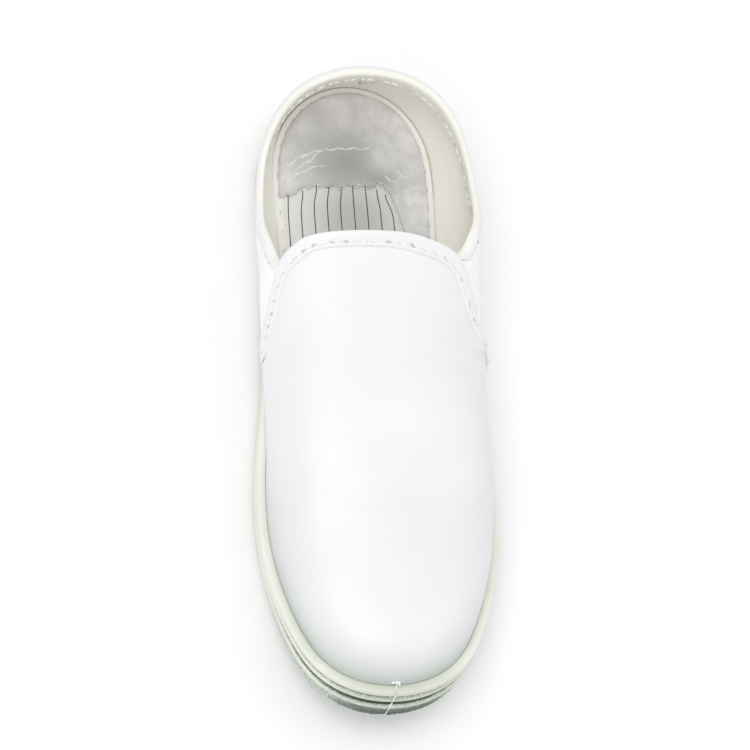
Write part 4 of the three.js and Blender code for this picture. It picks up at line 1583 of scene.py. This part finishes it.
# The knot's four loops: places from the end of the thread, and directions.
KNOT_PLACES = np.array([(0.4, 0.5, 0.3), (2.3, 0.8, 0.2), (-1.2, 0.7, 0.2), (0.8, 0.1, 0.6)])
KNOT_WAYS = np.array([(1.0, 0.15, 0.1), (1.0, -0.35, -0.1), (1.0, 0.4, -0.1), (0.3, -1.0, 0.1)])


def make_toe_thread():
    """A knot where the leather meets the rim, and a loose end that hangs down over the side of the toe."""
    rows = TOE_THREAD[:, 0].astype(int)
    x, s, z = sole_side(TOE_THREAD[:, 1])
    pick = (np.arange(len(rows)), rows)
    path = rolled(x[pick], s[pick], z[pick]) + THREAD_LIFT * THREAD_OUT
    path = np.concatenate([path[:1] + RIM_CROSSING, path])
    reach = np.diff(path, axis=0)
    out = np.broadcast_to(THREAD_OUT, reach.shape)
    hanging = []
    for place, way, normal in zip(between(path)[:, None], reach[:, None], out[:, None]):
        length = np.linalg.norm(way)
        hanging.append(capsules(place, way / length, normal, float(length) + THREAD_OVERLAP, *THREAD_SIZE))
    upright = np.broadcast_to([0.0, 0.0, 1.0], KNOT_WAYS.shape)
    return hanging + [capsules(path[0] + KNOT_PLACES, unit(KNOT_WAYS), upright, *KNOT_LOOP)]


add_stitches("toe_thread", white_thread, make_toe_thread())

# %% Threads and stitches of the insole
# Length, width and height.
YARN_STITCH = (1.5, 0.52, 0.42)
FUZZ_FIBRE = (1.9, 0.26, 0.24)
BORDER_STITCH = (2.3, 0.6, 0.5)
FUZZ_COUNT = 150
FUZZ_SPAN = (-31, 24)
BORDER_LINE = 2.7
BORDER_PITCH = 2.9
BORDER_SINK = 0.3
BORDER_SLANT = 0.15
YARN_FRONT = 258
YARN_STEP = 1.45
# Columns: x at its rear end, distance of that end from the heel, x where it runs under the vamp.
YARNS = np.array([
    (-30.34, 55.88, -30.84),
    (-23.64, 54.48, -25.04),
    (-17.24, 52.08, -19.04),
    (-11.64, 51.38, -13.04),
    (-6.04, 51.98, -7.14),
    (-0.94, 51.48, -0.94),
    (4.76, 50.58, 5.06),
    (9.96, 54.08, 10.96),
    (13.76, 56.18, 16.56),
])
YARN_BEND = 6.0


def level_row(x, s, size, lift, seed):
    """Stitches that lie level along the insole: each points to the place one millimetre ahead."""
    here = rolled(x, s, insole_top(s) + lift)
    along = unit(rolled(x, s + 1, insole_top(s + 1) + lift) - here)
    out = np.cross(along, np.broadcast_to([-1.0, 0.0, 0.0], along.shape))
    out *= np.sign(out[:, 2:])
    return capsules(here, slanted(along, out, 0.0, seed), out, *size)


def make_yarns():
    """Each yarn runs straight along the insole and bends near its rear end, by a bell of its own."""
    rows = []
    for k, (rear_x, rear_s, front_x) in enumerate(YARNS):
        s = np.arange(rear_s, YARN_FRONT, YARN_STEP)
        x = front_x + (rear_x - front_x) * np.exp(-((s - rear_s) / YARN_BEND) ** 2)
        x = x + swing(s / SOLE_LENGTH) - swing(rear_s / SOLE_LENGTH)
        rows.append(level_row(x, s, YARN_STITCH, 0.06, 10 + k))
    add_stitches("carbon_yarns", carbon_yarn, rows)


def make_fuzz():
    """Loose fibres along the torn front edge of the pad, each with its own place and direction."""
    random = np.random.default_rng(21)
    x = random.uniform(*FUZZ_SPAN, FUZZ_COUNT)
    s = pad_front(x) + random.uniform(-1.6, 0.8, FUZZ_COUNT)
    here = rolled(x, s, insole_top(s) + random.uniform(0.15, PAD_THICKNESS + 0.1, FUZZ_COUNT))
    angle = random.uniform(0, np.pi, FUZZ_COUNT)
    along = unit(np.stack([np.cos(angle), np.sin(angle), 0.15 * np.cos(3 * angle)], -1))
    out = unit(np.cross(np.cross(along, [0.0, 0.0, 1.0]), along))
    row = capsules(here, along, out, *FUZZ_FIBRE)
    add_stitches("pad_fuzz", pad_felt, [row])


def make_border_stitches():
    """Stitches at even steps of true length round the insole, a little slanted."""
    turn = np.linspace(0, 2 * np.pi, 4000, endpoint=False)
    plan = insole_outline(turn, BORDER_LINE + 0 * turn)
    length = np.concatenate([[0], np.cumsum(np.linalg.norm(np.diff(plan, axis=0), axis=1))])
    turn = np.interp(np.arange(0, length[-1], BORDER_PITCH), length, turn)
    plan = insole_outline(turn, BORDER_LINE + 0 * turn)
    here = rolled(plan[:, 0], plan[:, 1], insole_top(plan[:, 1]) - BORDER_SINK)
    along = unit(np.gradient(here, axis=0))
    out = np.cross(np.cross(along, [0.0, 0.0, 1.0]), along)
    row = capsules(here, slanted(along, out, BORDER_SLANT, 30), out, *BORDER_STITCH)
    add_stitches("insole_stitches", white_thread, [row])


make_yarns()
make_fuzz()
make_border_stitches()

# %% [markdown]
# ## Set the stage
#
# A pale floor shows the white leather by its shading alone. It lies a hair under the sole, because two
# faces in one plane would flicker.

# %% Stage
FLOOR_SIDE = 3.0
FLOOR_DROP = 0.0003


def make_stage():
    """Square floor, twice the side across."""
    corners = [(-1, -1), (1, -1), (1, 1), (-1, 1)]
    mesh = bpy.data.meshes.new("floor")
    mesh.from_pydata([(x * FLOOR_SIDE, y * FLOOR_SIDE, -FLOOR_DROP) for x, y in corners], [], [(0, 1, 2, 3)])
    floor = bpy.data.objects.new("floor", mesh)
    bpy.context.scene.collection.objects.link(floor)
    finish, tree, shader, place = new_finish("pale studio paper", Roughness=0.9)
    tone = spread(tree, noise(tree, place, 300, 2.0), 0.3, 0.7)
    tree.links.new(blend(tree, tone, linear("#FDFDFD"), linear("#FAFAFA")), shader.inputs["Base Color"])
    mesh.materials.append(finish)


make_stage()

# %% [markdown]
# ## Camera and light
#
# The camera is 1.5 m away with a long lens, as a product photograph is taken. It stands almost overhead: its
# direction is given by how far it leans to the outer side and to the toe for each unit up, and it is rolled
# as the photograph is. A large soft light over the outer side, a weaker one against it and a low one before
# the toe shade the white forms without hard edges.

# %% Camera
CAMERA_LEFT = 0.26
CAMERA_TOE = 0.32
CAMERA_ROLL = -5.0
CAMERA_DISTANCE = 1.5
PIXELS_PER_MM = 2.3
FRAME_PIXELS = 750
SENSOR_MM = 36
AIM = Vector((0.0, 0.0, 0.02))
AIM_PIXEL = (368.5, 389.6)


def make_camera():
    """Camera whose middle is moved so that the aim falls on its pixel, with a lens that gives the scale."""
    back = Vector((-CAMERA_LEFT, -CAMERA_TOE, 1.0)).normalized()
    up = (Vector((0, 1, 0)) - back * back.y).normalized()
    right = up.cross(back)
    turned = Matrix.Rotation(np.radians(CAMERA_ROLL), 3, back)
    right = turned @ right
    up = turned @ up
    middle = FRAME_PIXELS / 2
    shift_right = (middle - AIM_PIXEL[0]) / PIXELS_PER_MM / 1000
    shift_up = (AIM_PIXEL[1] - middle) / PIXELS_PER_MM / 1000
    place = AIM + back * CAMERA_DISTANCE + right * shift_right + up * shift_up
    data = bpy.data.cameras.new("camera")
    data.sensor_width = SENSOR_MM
    data.lens = SENSOR_MM * CAMERA_DISTANCE * 1000 * PIXELS_PER_MM / FRAME_PIXELS
    data.clip_end = 20
    camera = bpy.data.objects.new("camera", data)
    camera.matrix_world = Matrix.Translation(place) @ Matrix((right, up, back)).transposed().to_4x4()
    bpy.context.scene.collection.objects.link(camera)
    bpy.context.scene.camera = camera
    print("camera at", [round(value, 3) for value in place], "lens", round(data.lens, 1))


make_camera()


# %% Light
SKY_STRENGTH = 0.76
# Name, place, size in metres and power in watts.
LAMPS = (
    ("window", (-0.6, 0.0, 1.9), 1.4, 11.2),
    ("fill", (1.1, 0.2, 1.5), 1.5, 3.4),
    ("front", (-0.7, -1.0, 1.3), 0.9, 2.6),
)


def make_light():
    """A pale sky all round, and round lamps that face the part."""
    world = bpy.data.worlds.new("studio")
    world.use_nodes = True
    sky = world.node_tree.nodes["Background"]
    sky.inputs["Color"].default_value = linear("#F7F8FA")
    sky.inputs["Strength"].default_value = SKY_STRENGTH
    bpy.context.scene.world = world
    for name, place, size, power in LAMPS:
        data = bpy.data.lights.new(name, "AREA")
        data.shape = "DISK"
        data.size = size
        data.energy = power
        lamp = bpy.data.objects.new(name, data)
        lamp.location = place
        lamp.rotation_euler = (-Vector(place)).to_track_quat("-Z", "Y").to_euler()
        bpy.context.scene.collection.objects.link(lamp)
    bpy.context.scene.view_settings.view_transform = "Standard"


make_light()
